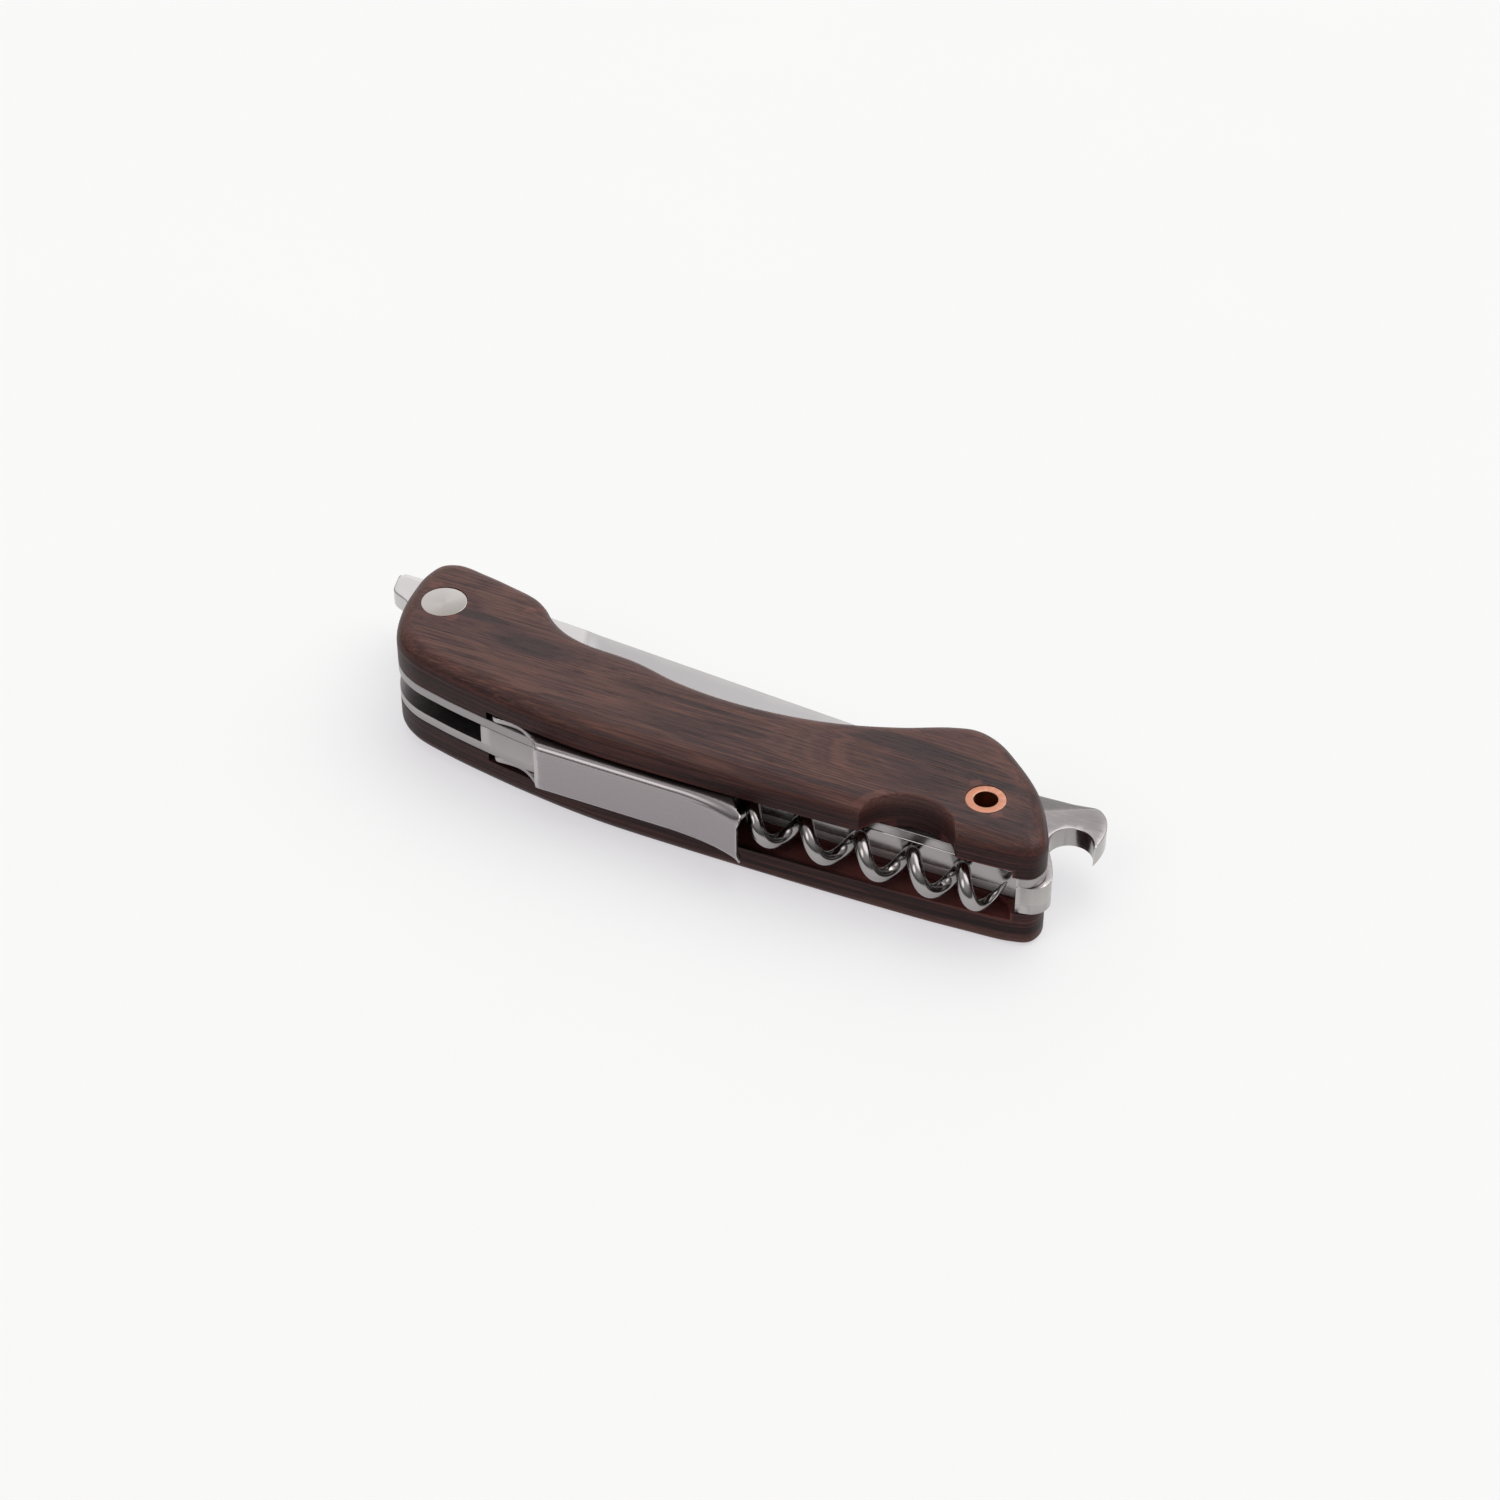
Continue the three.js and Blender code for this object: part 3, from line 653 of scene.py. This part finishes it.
SMOOTH = {"depth": 0.0001, "streak": 0.01, "contrast": 0.015}
LENGTHWISE = (6.0, 0.12, 0.12)
ACROSS = (0.2, 5.0, 5.0)
ROUND = (0.4, 0.4, 6.0)
LOOKS = {
    "rosewood": rosewood(),
    "satin_steel": steel("satin_steel", (134, 129, 131), 0.34, LENGTHWISE),
    "blade_steel": steel("blade_steel", (166, 164, 165), 0.32, ACROSS, lighter=ricasso, **SMOOTH),
    "lever_steel": steel("lever_steel", (153, 147, 149), 0.28, (12.0, 0.25, 0.25), **SMOOTH),
    "polished_steel": steel(
        "polished_steel", (139, 135, 135), 0.17, (2.0, 0.3, 0.3), streak=0.04, depth=0.001),
    "turned_steel": turned_steel(),
    "copper": steel("copper", (179, 116, 86), 0.38, ROUND),
    "bronze": steel("bronze", (176, 134, 76), 0.34, ROUND),
}


# ---- Scales ----

SCALE_ROUND = {"reach": 3.0, "drop": 2.4}
CROWN = {"reach": 8.0, "drop": 0.3}  # gentle fall from the middle of the face
LOWER_CRISP = ((-30.0, 1.0), (35.0, 0.3))  # X and share of the rounding on the lower scale
NOTCH = {"place": (31.6, -9.6), "radius": 8.0}
NOTCH_ROUND = 0.7
LEVER_POCKET_DEPTH = 1.45
WORM_POCKET_DEPTH = 1.4
EAR_POCKET_RADIUS = 6.2
PIN_HEAD_GAP = 0.1
FAR_OUT = -30.0  # well outside the belly


def notch_arc():
    """The thumb notch's rim from left to right across the belly edge, with its ends on the outline."""
    (cx, cy), radius = NOTCH["place"], NOTCH["radius"]
    rim = arc((cx, cy), radius, 180, 0, 90)
    return rim[inside(rim, outline)]


def scale_solid(notched):
    """One scale, between its liner and its domed outer face."""
    loop = outline
    rims = rim_steps(SCALE_ROUND["reach"], 9)
    if notched:
        rim = notch_arc()
        loop = with_gap(on_belly(rim[0][0], rim[-1][0]), rim)
        rims = [*rim_steps(NOTCH_ROUND, 4), *(r for r in rims if r > NOTCH_ROUND)]
    head_hole = circle(BLADE_PIVOT, PIVOT_HEAD_RADIUS + 2 * PRESS_GAP)
    notch_edge = rounded(NOTCH_ROUND, NOTCH_ROUND)

    def crown(points, _):
        distance = edge_distance(points, [outline])
        share = 1.0 if notched else np.interp(points[:, 0], *zip(*LOWER_CRISP))
        fall = rounded(SCALE_ROUND["reach"] * share, SCALE_ROUND["drop"] * share)(distance)
        fall = fall + CROWN["drop"] * np.clip(1 - distance / CROWN["reach"], 0, 1) ** 2
        if notched:
            reach = np.linalg.norm(points - np.array(NOTCH["place"]), axis=1) - NOTCH["radius"]
            fall = np.maximum(fall, notch_edge(np.maximum(reach, 0)) * (reach < NOTCH_ROUND))
        return HALF - fall

    return relief([loop, head_hole, lanyard_hole()], crown, LINER_OUTER + SEAM, rims, 0.9)


def pocket_tools():
    """The hollows for the lever's wall and ear, for the head of its pin, and beside the worm."""
    x, y = LEVER_PIVOT
    pin_head = disc(LEVER_PIVOT, radius_mm("lever_pivot_pin") + PIN_HEAD_GAP, 48)
    run = [
        (x, FAR_OUT), (9.0, FAR_OUT), (9.0, -4.4), (-3.0, -4.2), (-13.0, -2.6), (-24.0, 1.4),
        (x, y + EAR_POCKET_RADIUS),
    ]
    beside_worm = [
        (-6.0, FAR_OUT), (47.8, FAR_OUT), (47.7, -6.6), (47.2, -4.8), (46.2, -3.3), (44.6, CHANNEL_WALL_Y),
        (-6.0, CHANNEL_WALL_Y),
    ]
    low = LINER_OUTER - 1
    return [
        prism(run, low, LINER_OUTER + LEVER_POCKET_DEPTH),
        prism(disc(LEVER_PIVOT, EAR_POCKET_RADIUS), low, LINER_OUTER + LEVER_POCKET_DEPTH),
        prism(pin_head, low, top_mm("lever_pivot_pin") + PIN_HEAD_GAP),
        prism(beside_worm, low, LINER_OUTER + WORM_POCKET_DEPTH),
    ]


def flipped(solid):
    """The same solid mirrored across the middle plane."""
    vertices, faces = solid
    return [(x, y, -z) for x, y, z in vertices], [face[::-1] for face in faces]


def make_scales():
    for node, notched in (("upper_scale", True), ("lower_scale", False)):
        solid, tools = scale_solid(notched), pocket_tools()
        if node == "lower_scale":
            solid, tools = flipped(solid), [flipped(tool) for tool in tools]
        made = mesh_object(f"{node}_wood", solid)
        carve(made, *tools)
        place_piece(made, node, "handle", "rosewood", sharp=40)


# ---- Plates: liners, backspacer and cap lifter ----

PLATE_EDGE = 0.12
TIGHT_EDGE = 0.015  # where two plates lie on each other


def plate_solid(loops, low, high, edge=PLATE_EDGE, under_edge=None, shape=None, spacing=0.0, extra=None):
    """A plate with slightly rounded edges. Shape gives half its thickness where it is thinner, by plan
    place."""
    over_fall = rounded(edge, edge)
    under_fall = rounded(under_edge or edge, under_edge or edge)
    middle = (low + high) / 2

    def over(points, distance):
        top = high - over_fall(distance)
        return top if shape is None else np.minimum(top, middle + shape(points) - over_fall(distance))

    def under(points, distance):
        bottom = low + under_fall(distance)
        return bottom if shape is None else np.maximum(bottom, middle - shape(points) + under_fall(distance))

    return relief(loops, over, under, rim_steps(edge, 3), spacing, extra)


def foot():
    """The rounded end of the cap lifter and the lower liner, which stands out from the wood."""
    return path(
        (CHANNEL_END_X, -5.3), (50.0, -4.9), bezier((50.0, -4.9), (52.1, -4.0), (52.1, -1.8)),
        bezier((52.1, -1.8), (51.4, 0.9), (49.4, 4.0)),
    )


def liner_solid(inner_edge, with_foot):
    """A liner, cut back under the lever and the worm. Inner edge is the rounding on the slot's side."""
    end = (CHANNEL_END_X, belly_height(CHANNEL_END_X))
    gone = on_belly(LEVER_RUN_X, CHANNEL_END_X)
    if with_foot:
        end = foot()
        gone |= (outline[:, 0] > CHANNEL_END_X) & (outline[:, 1] < end[-1][1])
    inner = path(
        (LEVER_RUN_X, belly_height(LEVER_RUN_X)), (LEVER_RUN_X, -6.6), (-8.4, -6.6),
        bezier((-8.4, -6.6), (-6.4, -6.3), (-5.6, -3.4), steps=8),
        bezier((-5.6, -3.4), (-5.3, -2.5), (-4.4, CHANNEL_WALL_Y), steps=6),
        (CHANNEL_END_X, CHANNEL_WALL_Y), end,
    )
    loop = resampled(with_gap(gone, inner), 1.2)
    holes = [pin_hole(node) for node in PLAIN_PINS]
    holes += [lever_pin_hole(), lanyard_hole(), circle(BLADE_PIVOT, BARREL_RADIUS + BORE_GAP)]
    return plate_solid([loop, *holes], SLOT_HALF, LINER_OUTER, under_edge=inner_edge)


def make_liners():
    upper, lower = liner_solid(PLATE_EDGE, False), flipped(liner_solid(TIGHT_EDGE, True))
    place_piece(mesh_object("upper_liner_plate", upper), "upper_liner", "handle", "satin_steel")
    place_piece(mesh_object("lower_liner_plate", lower), "lower_liner", "handle", "satin_steel")


BLADE_STOP_X = -37.2  # where the open blade's tab ends


def make_backspacer():
    low, high = box_mm("backspacer")
    left, right, far = low[0], high[0], high[1]
    belly = [(x, belly_height(x)) for x in np.linspace(left, LEVER_RUN_X, 12)]
    loop = path(
        belly, (LEVER_RUN_X, -6.6), (-16.3, -6.6), (-16.3, -2.8),
        arc(WORM_PIVOT, 4.2, 177, 7, 40), (right, CHANNEL_WALL_Y), (right, far),
        (BLADE_STOP_X, far), (BLADE_STOP_X, -4.1), (left, -4.1),
    )
    holes = [*(pin_hole(node) for node in SPACER_PINS), lever_pin_hole()]
    solid = plate_solid([resampled(loop, 1.2), *holes], -SLOT_HALF, SLOT_HALF - SEAM, under_edge=TIGHT_EDGE)
    place_piece(mesh_object("backspacer_plate", solid), "backspacer", "handle", "satin_steel")


HOOK_THROAT = {"centre": (51.75, 6.75), "radius": 3.35}
# Beyond this line the hook is ground down, and reaches the middle plane at the third place.
LIFTER_RIDGE = {"place": (45.8, 11.7), "along": (3.8, 2.1), "to_middle": (42.9, 16.6)}


def make_cap_lifter():
    left = box_mm("cap_lifter")[0][0]
    loop = path(
        (left, CHANNEL_WALL_Y), (CHANNEL_END_X, CHANNEL_WALL_Y), foot(),
        arc(HOOK_THROAT["centre"], HOOK_THROAT["radius"], 190, 8, 40),
        (55.15, 7.0),
        bezier((55.15, 7.0), (56.1, 11.0), (54.6, 13.8), steps=16),
        bezier((54.6, 13.8), (53.4, 15.6), (52.0, 15.7), steps=10),
        (48.8, 15.7), (42.9, 16.6), (41.4, 13.2),
        bezier((41.4, 13.2), (36.5, 7.6), (24.0, 3.9), steps=16),
        (left, 3.4),
    )
    along = np.array(LIFTER_RIDGE["along"]) / np.linalg.norm(LIFTER_RIDGE["along"])
    away = np.array([-along[1], along[0]])
    ridge = np.array(LIFTER_RIDGE["place"])
    span = (np.array(LIFTER_RIDGE["to_middle"]) - ridge) @ away

    def wedge(points):
        """Half the thickness: full up to the ridge, falling to the middle beyond it."""
        beyond = (points - ridge) @ away
        ground = (beyond > 0) & ~inside(points, outline)
        return np.where(ground, SLOT_HALF * (1 - beyond / span), SLOT_HALF + 1)

    crease = ridge + along * np.arange(-14, 14, 0.25)[:, None]
    loops = [resampled(loop, 0.5), lanyard_hole(), pin_hole("cap_lifter_pin")]
    solid = plate_solid(
        loops, -SLOT_HALF, SLOT_HALF - SEAM, under_edge=TIGHT_EDGE, shape=wedge, spacing=0.7, extra=crease)
    place_piece(mesh_object("cap_lifter_plate", solid), "cap_lifter", "handle", "polished_steel", sharp=25)


# ---- Pins, pivot and lanyard tube ----

SCREW_RADIUS = 1.45
HEAD_THICKNESS = 1.6
PIN_FILLET = 0.12


def smooth_profile(corners, radius):
    """A turned profile with small fillets on its outer corners."""
    points = [corners[0]]
    for before, corner, after in zip(corners, corners[1:], corners[2:]):
        points += fillet(corner, before, after, radius)
    return points + [corners[-1]]


def make_pins():
    """The lever's pin has a head over each ear; the others are plain."""
    for node in [*PLAIN_PINS, "lever_pivot_pin"]:
        reach, radius = top_mm(node), radius_mm(node)
        corners = [(0, -reach), (radius, -reach), (radius, reach), (0, reach)]
        if node == "lever_pivot_pin":
            seat = LEVER["half_height"] + 0.05
            neck = [(LEVER_PIN_RADIUS, -seat), (LEVER_PIN_RADIUS, seat)]
            corners[2:2] = [(radius, -seat), *neck, (radius, seat)]
        solid = turned(smooth_profile(corners, PIN_FILLET), centre_mm(node))
        place_piece(mesh_object(f"{node}_turned", solid), node, "handle", "satin_steel")


def make_pivot():
    """The barrel's head is a shallow dish with a rounded rim; the screw's head is flat."""
    seat, dish = HEAD_TOP - HEAD_THICKNESS, 0.3
    head = PIVOT_HEAD_RADIUS
    bore = SCREW_RADIUS + PRESS_GAP
    barrel_end, screw_end = -LINER_OUTER - 2.0, 5.0
    barrel = [
        (bore, barrel_end), (BARREL_RADIUS, barrel_end), (BARREL_RADIUS, seat), (head, seat),
        *fillet((head, HEAD_TOP), (head, seat), (0, HEAD_TOP - dish), 0.2),
        (0, HEAD_TOP - dish), (0, screw_end + 0.3), (bore, screw_end + 0.3),
    ]
    screw = [
        (0, -HEAD_TOP), *fillet((head, -HEAD_TOP + 0.15), (0, -HEAD_TOP), (head, -seat), 0.2),
        (head, -seat), (SCREW_RADIUS, -seat), (SCREW_RADIUS, screw_end - 0.2),
        (SCREW_RADIUS - 0.2, screw_end), (0, screw_end),
    ]
    for node, profile in (("blade_pivot_barrel", barrel), ("blade_pivot_screw", screw)):
        made = mesh_object(f"{node}_turned", turned(profile, BLADE_PIVOT, 96))
        place_piece(made, node, "handle", "polished_steel", sharp=25, finish="turned_steel")


def make_lanyard_tube():
    outer, inner, reach = LANYARD_RADIUS, 1.75, HEAD_TOP
    profile = [
        (inner, -reach + 0.3), *fillet((inner, -reach), (inner, 0), (outer, -reach), 0.16),
        *fillet((outer, -reach), (inner, -reach), (outer, 0), 0.12),
        *fillet((outer, reach), (outer, 0), (inner, reach), 0.12),
        *fillet((inner, reach), (outer, reach), (inner, 0), 0.16), (inner, reach - 0.3),
    ]
    made = mesh_object("lanyard_tube_turned", turned(profile, LANYARD_HOLE, 96))
    place_piece(made, "lanyard_tube", "handle", "copper")


# ---- Blade ----

SPINE = {"from": (-45.0, 22.8), "to": (12.8, 18.6)}
EDGE_HALF = 0.2  # half the thickness that the grind would leave at its full width
GRIND_WIDTH = 18.5
TANG_RADIUS = 5.6


def make_blade():
    loop = path(
        (-67.8, 21.7), bezier((-67.2, 19.3), (-66.9, 18.1), (-65.7, 17.6), steps=5),
        (-63.8, 16.8), (-57.9, 12.2),
        arc(BLADE_PIVOT, TANG_RADIUS, 165, 335, 40), (-41.5, 8.1), (-37.8, 8.1),
        bezier((-37.8, 8.1), (-37.4, 5.5), (-35.5, 5.4), steps=8), (8.0, 5.4),
        bezier((8.0, 5.4), (20.0, 5.6), (31.0, 8.4), (38.0, 13.2), steps=24),
        bezier((38.0, 13.2), (33.0, 16.9), (24.0, 17.8), steps=16), (-45.0, 22.8), (-66.6, 22.8),
        bezier((-66.6, 22.8), (-67.8, 22.8), (-67.8, 21.7), steps=5)[:-1],
    )
    start, end = np.array(SPINE["from"]), np.array(SPINE["to"])
    along = (end - start) / np.linalg.norm(end - start)
    inward = np.array([along[1], -along[0]])

    def ground(points):
        """Half the thickness: full on the tang, then ground flat from the spine to the edge."""
        depth = (points - start) @ inward
        thin = BLADE_HALF - 0.07 - (BLADE_HALF - EDGE_HALF) * np.clip(depth / GRIND_WIDTH, 0, 1)
        plunge = eased(points[:, 0] - PLUNGE_X + 0.35 * (points[:, 1] - 22), 0, 2.4)
        return BLADE_HALF + (thin - BLADE_HALF) * plunge

    loops = [resampled(loop, 0.8), circle(BLADE_PIVOT, BARREL_RADIUS + TURNING_GAP)]
    solid = plate_solid(loops, -BLADE_HALF, BLADE_HALF, edge=0.3, shape=ground, spacing=0.8)
    place_piece(mesh_object("blade_ground", solid), "blade", "blade", "blade_steel", sharp=30)


# ---- Lever: a flat pattern with rounded edges, folded into a channel ----

LEVER = {"web_y": -9.5, "half_height": 4.3, "sheet": 0.9, "bend": 1.15, "tip_bend": 1.9}
LEVER_WEB_X = -27.4
EAR_RADIUS = 4.1
FLARE = {"from_x": -5.0, "out": 2.4, "widen": 0.08}
BEND_GROWS = (-4.0, 6.0)  # the bend opens out between these places in X
TIP_ROLL = {"length": 1.0, "out": 0.3}  # the end edge turns outwards
WEB_END_BACK = 0.4  # the web ends before the walls
SHEET_EDGE = 0.2
PRESSED_LINE = {"half_width": 0.12, "depth": 0.08}


def lever_bend(x):
    """Outer bend radius along the lever."""
    return LEVER["bend"] + (LEVER["tip_bend"] - LEVER["bend"]) * eased(x, *BEND_GROWS)


def flare_share(x):
    """How far along its flare the lever is at x."""
    return np.maximum(x - FLARE["from_x"], 0) / (LEVER_TIP_X - FLARE["from_x"])


def pattern_height(points):
    """Plan points on the lever's wall as points on the flat pattern, measured from the web's middle."""
    x, y = points[:, 0], points[:, 1] + FLARE["out"] * flare_share(points[:, 0]) ** 2
    bend = lever_bend(x)
    around = (bend - LEVER["sheet"] / 2) * math.pi / 2
    return np.stack([x, LEVER["half_height"] - bend + around + (y - LEVER["web_y"] - bend)], 1)


def folded(x, across, lift):
    """Places of the pattern's points after folding and flaring. Lift is measured outwards from the sheet's
    middle."""
    bend = lever_bend(x)
    middle = bend - LEVER["sheet"] / 2
    flat = LEVER["half_height"] - bend
    side, reach = np.sign(across), np.abs(across)
    turn = np.clip((reach - flat) / middle, 0, math.pi / 2)
    rest = np.maximum(reach - flat - middle * math.pi / 2, 0)
    roll = TIP_ROLL["out"] * np.clip(1 - (LEVER_TIP_X - x) / TIP_ROLL["length"], 0, 1) ** 2
    radius = middle + lift + roll
    y = LEVER["web_y"] + bend - radius * np.cos(turn) + rest
    z = side * (np.minimum(reach, flat) + radius * np.sin(turn))
    share = flare_share(x)
    return np.stack([x, y - FLARE["out"] * share**2, z * (1 + FLARE["widen"] * share)], 1)


def lever_rim():
    """The upper half of the pattern's edge, from the web's left end round the ear to the tip."""
    x, y = LEVER_PIVOT
    ear = arc((x, y), EAR_RADIUS, 185, 70, 36)
    wall = path(
        (LEVER_WEB_X, -9.0), (-27.6, -8.6),
        bezier((-27.6, -8.6), (-30.4, -6.2), (-31.6, -5.95), (-35.2, -6.1), steps=16),
        bezier((-35.2, -6.1), (-37.0, -6.1), ear[0], steps=10), ear[1:],
        bezier(ear[-1], (-28.4, 1.3), (-24.0, 0.3), steps=8), (-14.0, -3.3), (-3.0, -5.2),
        bezier((-3.0, -5.2), (2.6, -5.2), (4.6, -7.8), steps=10),
        bezier((4.6, -7.8), (6.0, -9.7), (LEVER_TIP_X - 0.1, -10.6), steps=8),
    )
    return pattern_height(wall)


def make_lever():
    rim = lever_rim()
    flat = LEVER["half_height"] - LEVER["bend"]
    tip_flat = LEVER["half_height"] - LEVER["tip_bend"]
    wall_end = (LEVER_TIP_X, rim[-1][1] - 0.4)
    web_end = (LEVER_TIP_X - WEB_END_BACK, tip_flat)
    upper = path(
        (LEVER_WEB_X, flat), rim, wall_end, bezier(wall_end, (LEVER_TIP_X - 0.1, tip_flat + 0.3), web_end))
    lower = upper[::-1] * (1, -1)
    loop = resampled(path(lower, upper), 0.8)[::-1]
    half = LEVER["sheet"] / 2
    fall = rounded(SHEET_EDGE, SHEET_EDGE)
    line_at = flat + 0.05

    def over(points, distance):
        """The outer face, with a fine pressed line where each bend starts, which fades towards the tip."""
        line = np.clip(1 - np.abs(np.abs(points[:, 1]) - line_at) / PRESSED_LINE["half_width"], 0, 1)
        fade = np.clip((2.5 - points[:, 0]) / 3, 0, 1)
        return half - fall(distance) - PRESSED_LINE["depth"] * line * fade

    def under(_, distance):
        return -half + fall(distance)

    # Rows of points close together on the bends, and further apart on the web and the walls.
    bend_rows = np.arange(tip_flat - 0.1, 4.9, 0.1)
    rows = [*np.arange(0.5, tip_flat - 0.2, 0.6), *bend_rows, *np.arange(5.2, 14, 0.7)]
    columns = np.arange(-37, LEVER_TIP_X, 0.7)
    grid = np.array([(x, side * row) for x in columns for row in rows for side in (-1, 1)])
    grid = grid[filled(grid, [loop])]
    grid = grid[edge_distance(grid, [loop]) > 0.26]
    pin = pattern_height(LEVER_PIVOT.reshape(1, 2))[0]
    holes = [circle(pin * (1, side), LEVER_PIN_RADIUS + TURNING_GAP, 40) for side in (1, -1)]
    vertices, faces = relief([loop, *holes], over, under, rim_steps(SHEET_EDGE, 3), extra=grid)
    places = folded(*np.array(vertices).T)
    made = mesh_object("lever_sheet", (places.tolist(), faces))
    place_piece(made, "lever", "lever", "lever_steel", sharp=50)


# ---- Worm ----

WIRE_RADIUS = 1.1
WIRE_SIDES = 32
COIL = {
    "radius": 2.25, "pitch": 8.1, "axis_y": -6.3, "from_x": 7.0, "to_x": 46.4,
    "phase": 230, "phase_x": 11.5,  # the angle of the wire at one place in X
}
COIL_LEAD = {"shank": 1.2, "point": 1.3}  # how far the first and last turns run ahead of the pitch
SHANK_END_X = -1.5
EYE_RADIUS = 2.38
POINT_LENGTH = 10.0
SHANK = [(-9.8, -5.6), (-7.6, -6.1), (-5.5, -6.4)]


def worm_centres():
    """The wire's middle line: an eye, a shank and the coil."""
    eye = arc(WORM_PIVOT, EYE_RADIUS, 0, 270, 28)
    points = [(x, y, 0.0) for x, y in [*eye, *SHANK, (SHANK_END_X, COIL["axis_y"])]]
    for x in np.arange(SHANK_END_X + 0.2, COIL["to_x"], 0.2):
        radius = COIL["radius"] * eased(x, SHANK_END_X, COIL["from_x"])
        lead = COIL_LEAD["shank"] * (1 - eased(x, 6, 28)) + COIL_LEAD["point"] * eased(x, 36, 47)
        angle = math.radians(COIL["phase"]) + 2 * math.pi * (x - COIL["phase_x"] + lead) / COIL["pitch"]
        points.append((x, COIL["axis_y"] + radius * math.cos(angle), radius * math.sin(angle)))
    return np.array(points)


def make_worm():
    """Rings of points round the wire, carried along its middle line without twist."""
    sides = WIRE_SIDES
    centres = worm_centres()
    steps = np.linalg.norm(np.diff(centres, axis=0), axis=1)
    to_end = np.append(np.cumsum(steps[::-1])[::-1], 0)
    tangents = np.gradient(centres, axis=0)
    tangents /= np.linalg.norm(tangents, axis=1)[:, None]
    side = np.array([0.0, 0.0, 1.0])
    vertices, faces = [], []
    for centre, tangent, left in zip(centres, tangents, to_end):
        side = side - tangent * (side @ tangent)
        side /= np.linalg.norm(side)
        other = np.cross(tangent, side)
        radius = WIRE_RADIUS * min(1.0, max(0.0, left / POINT_LENGTH) ** 0.75 + 0.06)
        for k in range(sides):
            angle = 2 * math.pi * k / sides
            vertices.append(tuple(centre + radius * (side * math.cos(angle) + other * math.sin(angle))))
    for ring in range(len(centres) - 1):
        base = ring * sides
        for k in range(sides):
            n = (k + 1) % sides
            faces.append((base + k, base + n, base + sides + n, base + sides + k))
    faces += [tuple(range(sides))[::-1], tuple(range(len(vertices) - sides, len(vertices)))]
    place_piece(mesh_object("worm_wire", (vertices, faces)), "worm", "worm", "polished_steel", sharp=60)


# ---- CAD nodes that stay ----

KEPT_NODES = {"upper_blade_washer": "bronze", "lower_blade_washer": "bronze", "detent_ball": "satin_steel"}


def dress_kept_nodes():
    for node, slot in KEPT_NODES.items():
        shown = frame["nodes"][node]
        shown.data.materials.clear()
        shown.data.materials.append(LOOKS[slot].material)


# ---- Stage, light and camera ----

FLOOR_REACH = 12.0
FLOOR_GLOW = 0.57  # light from the table itself, which keeps the shadow soft and pale
SKY = (0.05, 0.75, 0.09, 0.56)  # between two heights of the direction, strength from and to
# Soft lights: the direction, where the light fades out and where it is full in degrees, and its strength.
SOFTBOXES = [
    ((0.38, 0.45, 1.00), 42, 20, 1.87),
    ((-0.50, 0.62, 0.60), 38, 18, 0.6),
    ((-0.40, 0.90, 0.12), 34, 12, 0.45),
    ((-0.30, -0.65, 0.72), 20, 10, 1.9),
]
CAMERA = {"target": (0.0, 0.008, 0.0096), "back": (0.3237, -0.6943, 0.6428), "distance": 0.530, "lens": 85.0}


def make_floor():
    corners = [(x, y, 0.0) for x, y in disc((0, 0), FLOOR_REACH)]
    mesh = bpy.data.meshes.new("floor")
    mesh.from_pydata(corners, [], [tuple(range(len(corners)))])
    floor = bpy.data.objects.new("floor", mesh)
    bpy.context.scene.collection.objects.link(floor)
    look = Look("floor", Roughness=0.8, Emission_Color=(0.975, 0.95, 1.0, 1), Emission_Strength=FLOOR_GLOW)
    mottle = look.noise(look.stretched((60, 60, 60)), 2.0)
    colour = look.ramp(mottle, (0.3, (0.34, 0.355, 0.325)), (0.7, (0.345, 0.36, 0.33)))
    mesh.materials.append(look.set(Base_Color=colour, Specular_IOR_Level=0.1).material)


def make_world():
    """A studio round the object: a sky that is brighter above, and soft patches of light."""
    world = bpy.data.worlds.new("studio")
    bpy.context.scene.world = world
    world.use_nodes = True
    nodes = Nodes(world.node_tree)
    direction = nodes.node("ShaderNodeTexCoord").outputs["Generated"]
    strength = nodes.remap(nodes.separate(direction)[2], *SKY, interpolation_type="SMOOTHSTEP")
    for towards, fades_at, full_at, light in SOFTBOXES:
        facing = nodes.node("ShaderNodeVectorMath", operation="DOT_PRODUCT")
        nodes.feed(facing.inputs[0], direction)
        nodes.feed(facing.inputs[1], Vector(towards).normalized())
        limits = (math.cos(math.radians(angle)) for angle in (fades_at, full_at))
        patch = nodes.remap(facing.outputs["Value"], *limits, 0.0, light, interpolation_type="SMOOTHSTEP")
        strength = nodes.plus(strength, patch)
    shade = world.node_tree.nodes["Background"]
    nodes.feed(shade.inputs["Strength"], strength)
    shade.inputs["Color"].default_value = (1.0, 0.985, 0.985, 1)


def make_camera():
    lens = bpy.data.cameras.new("camera")
    lens.lens = CAMERA["lens"]
    lens.sensor_width = 36.0
    lens.clip_start, lens.clip_end = 0.01, 40.0
    camera = bpy.data.objects.new("camera", lens)
    back = Vector(CAMERA["back"]).normalized()
    camera.matrix_world = (
        Matrix.Translation(Vector(CAMERA["target"]) + back * CAMERA["distance"])
        @ (-back).to_track_quat("-Z", "Y").to_matrix().to_4x4()
    )
    bpy.context.scene.collection.objects.link(camera)
    bpy.context.scene.camera = camera


make_camera()
make_world()
make_floor()
make_scales()
make_liners()
make_backspacer()
make_cap_lifter()
make_pins()
make_pivot()
make_lanyard_tube()
make_blade()
make_lever()
make_worm()
dress_kept_nodes()
bpy.context.scene.view_settings.view_transform = "Standard"
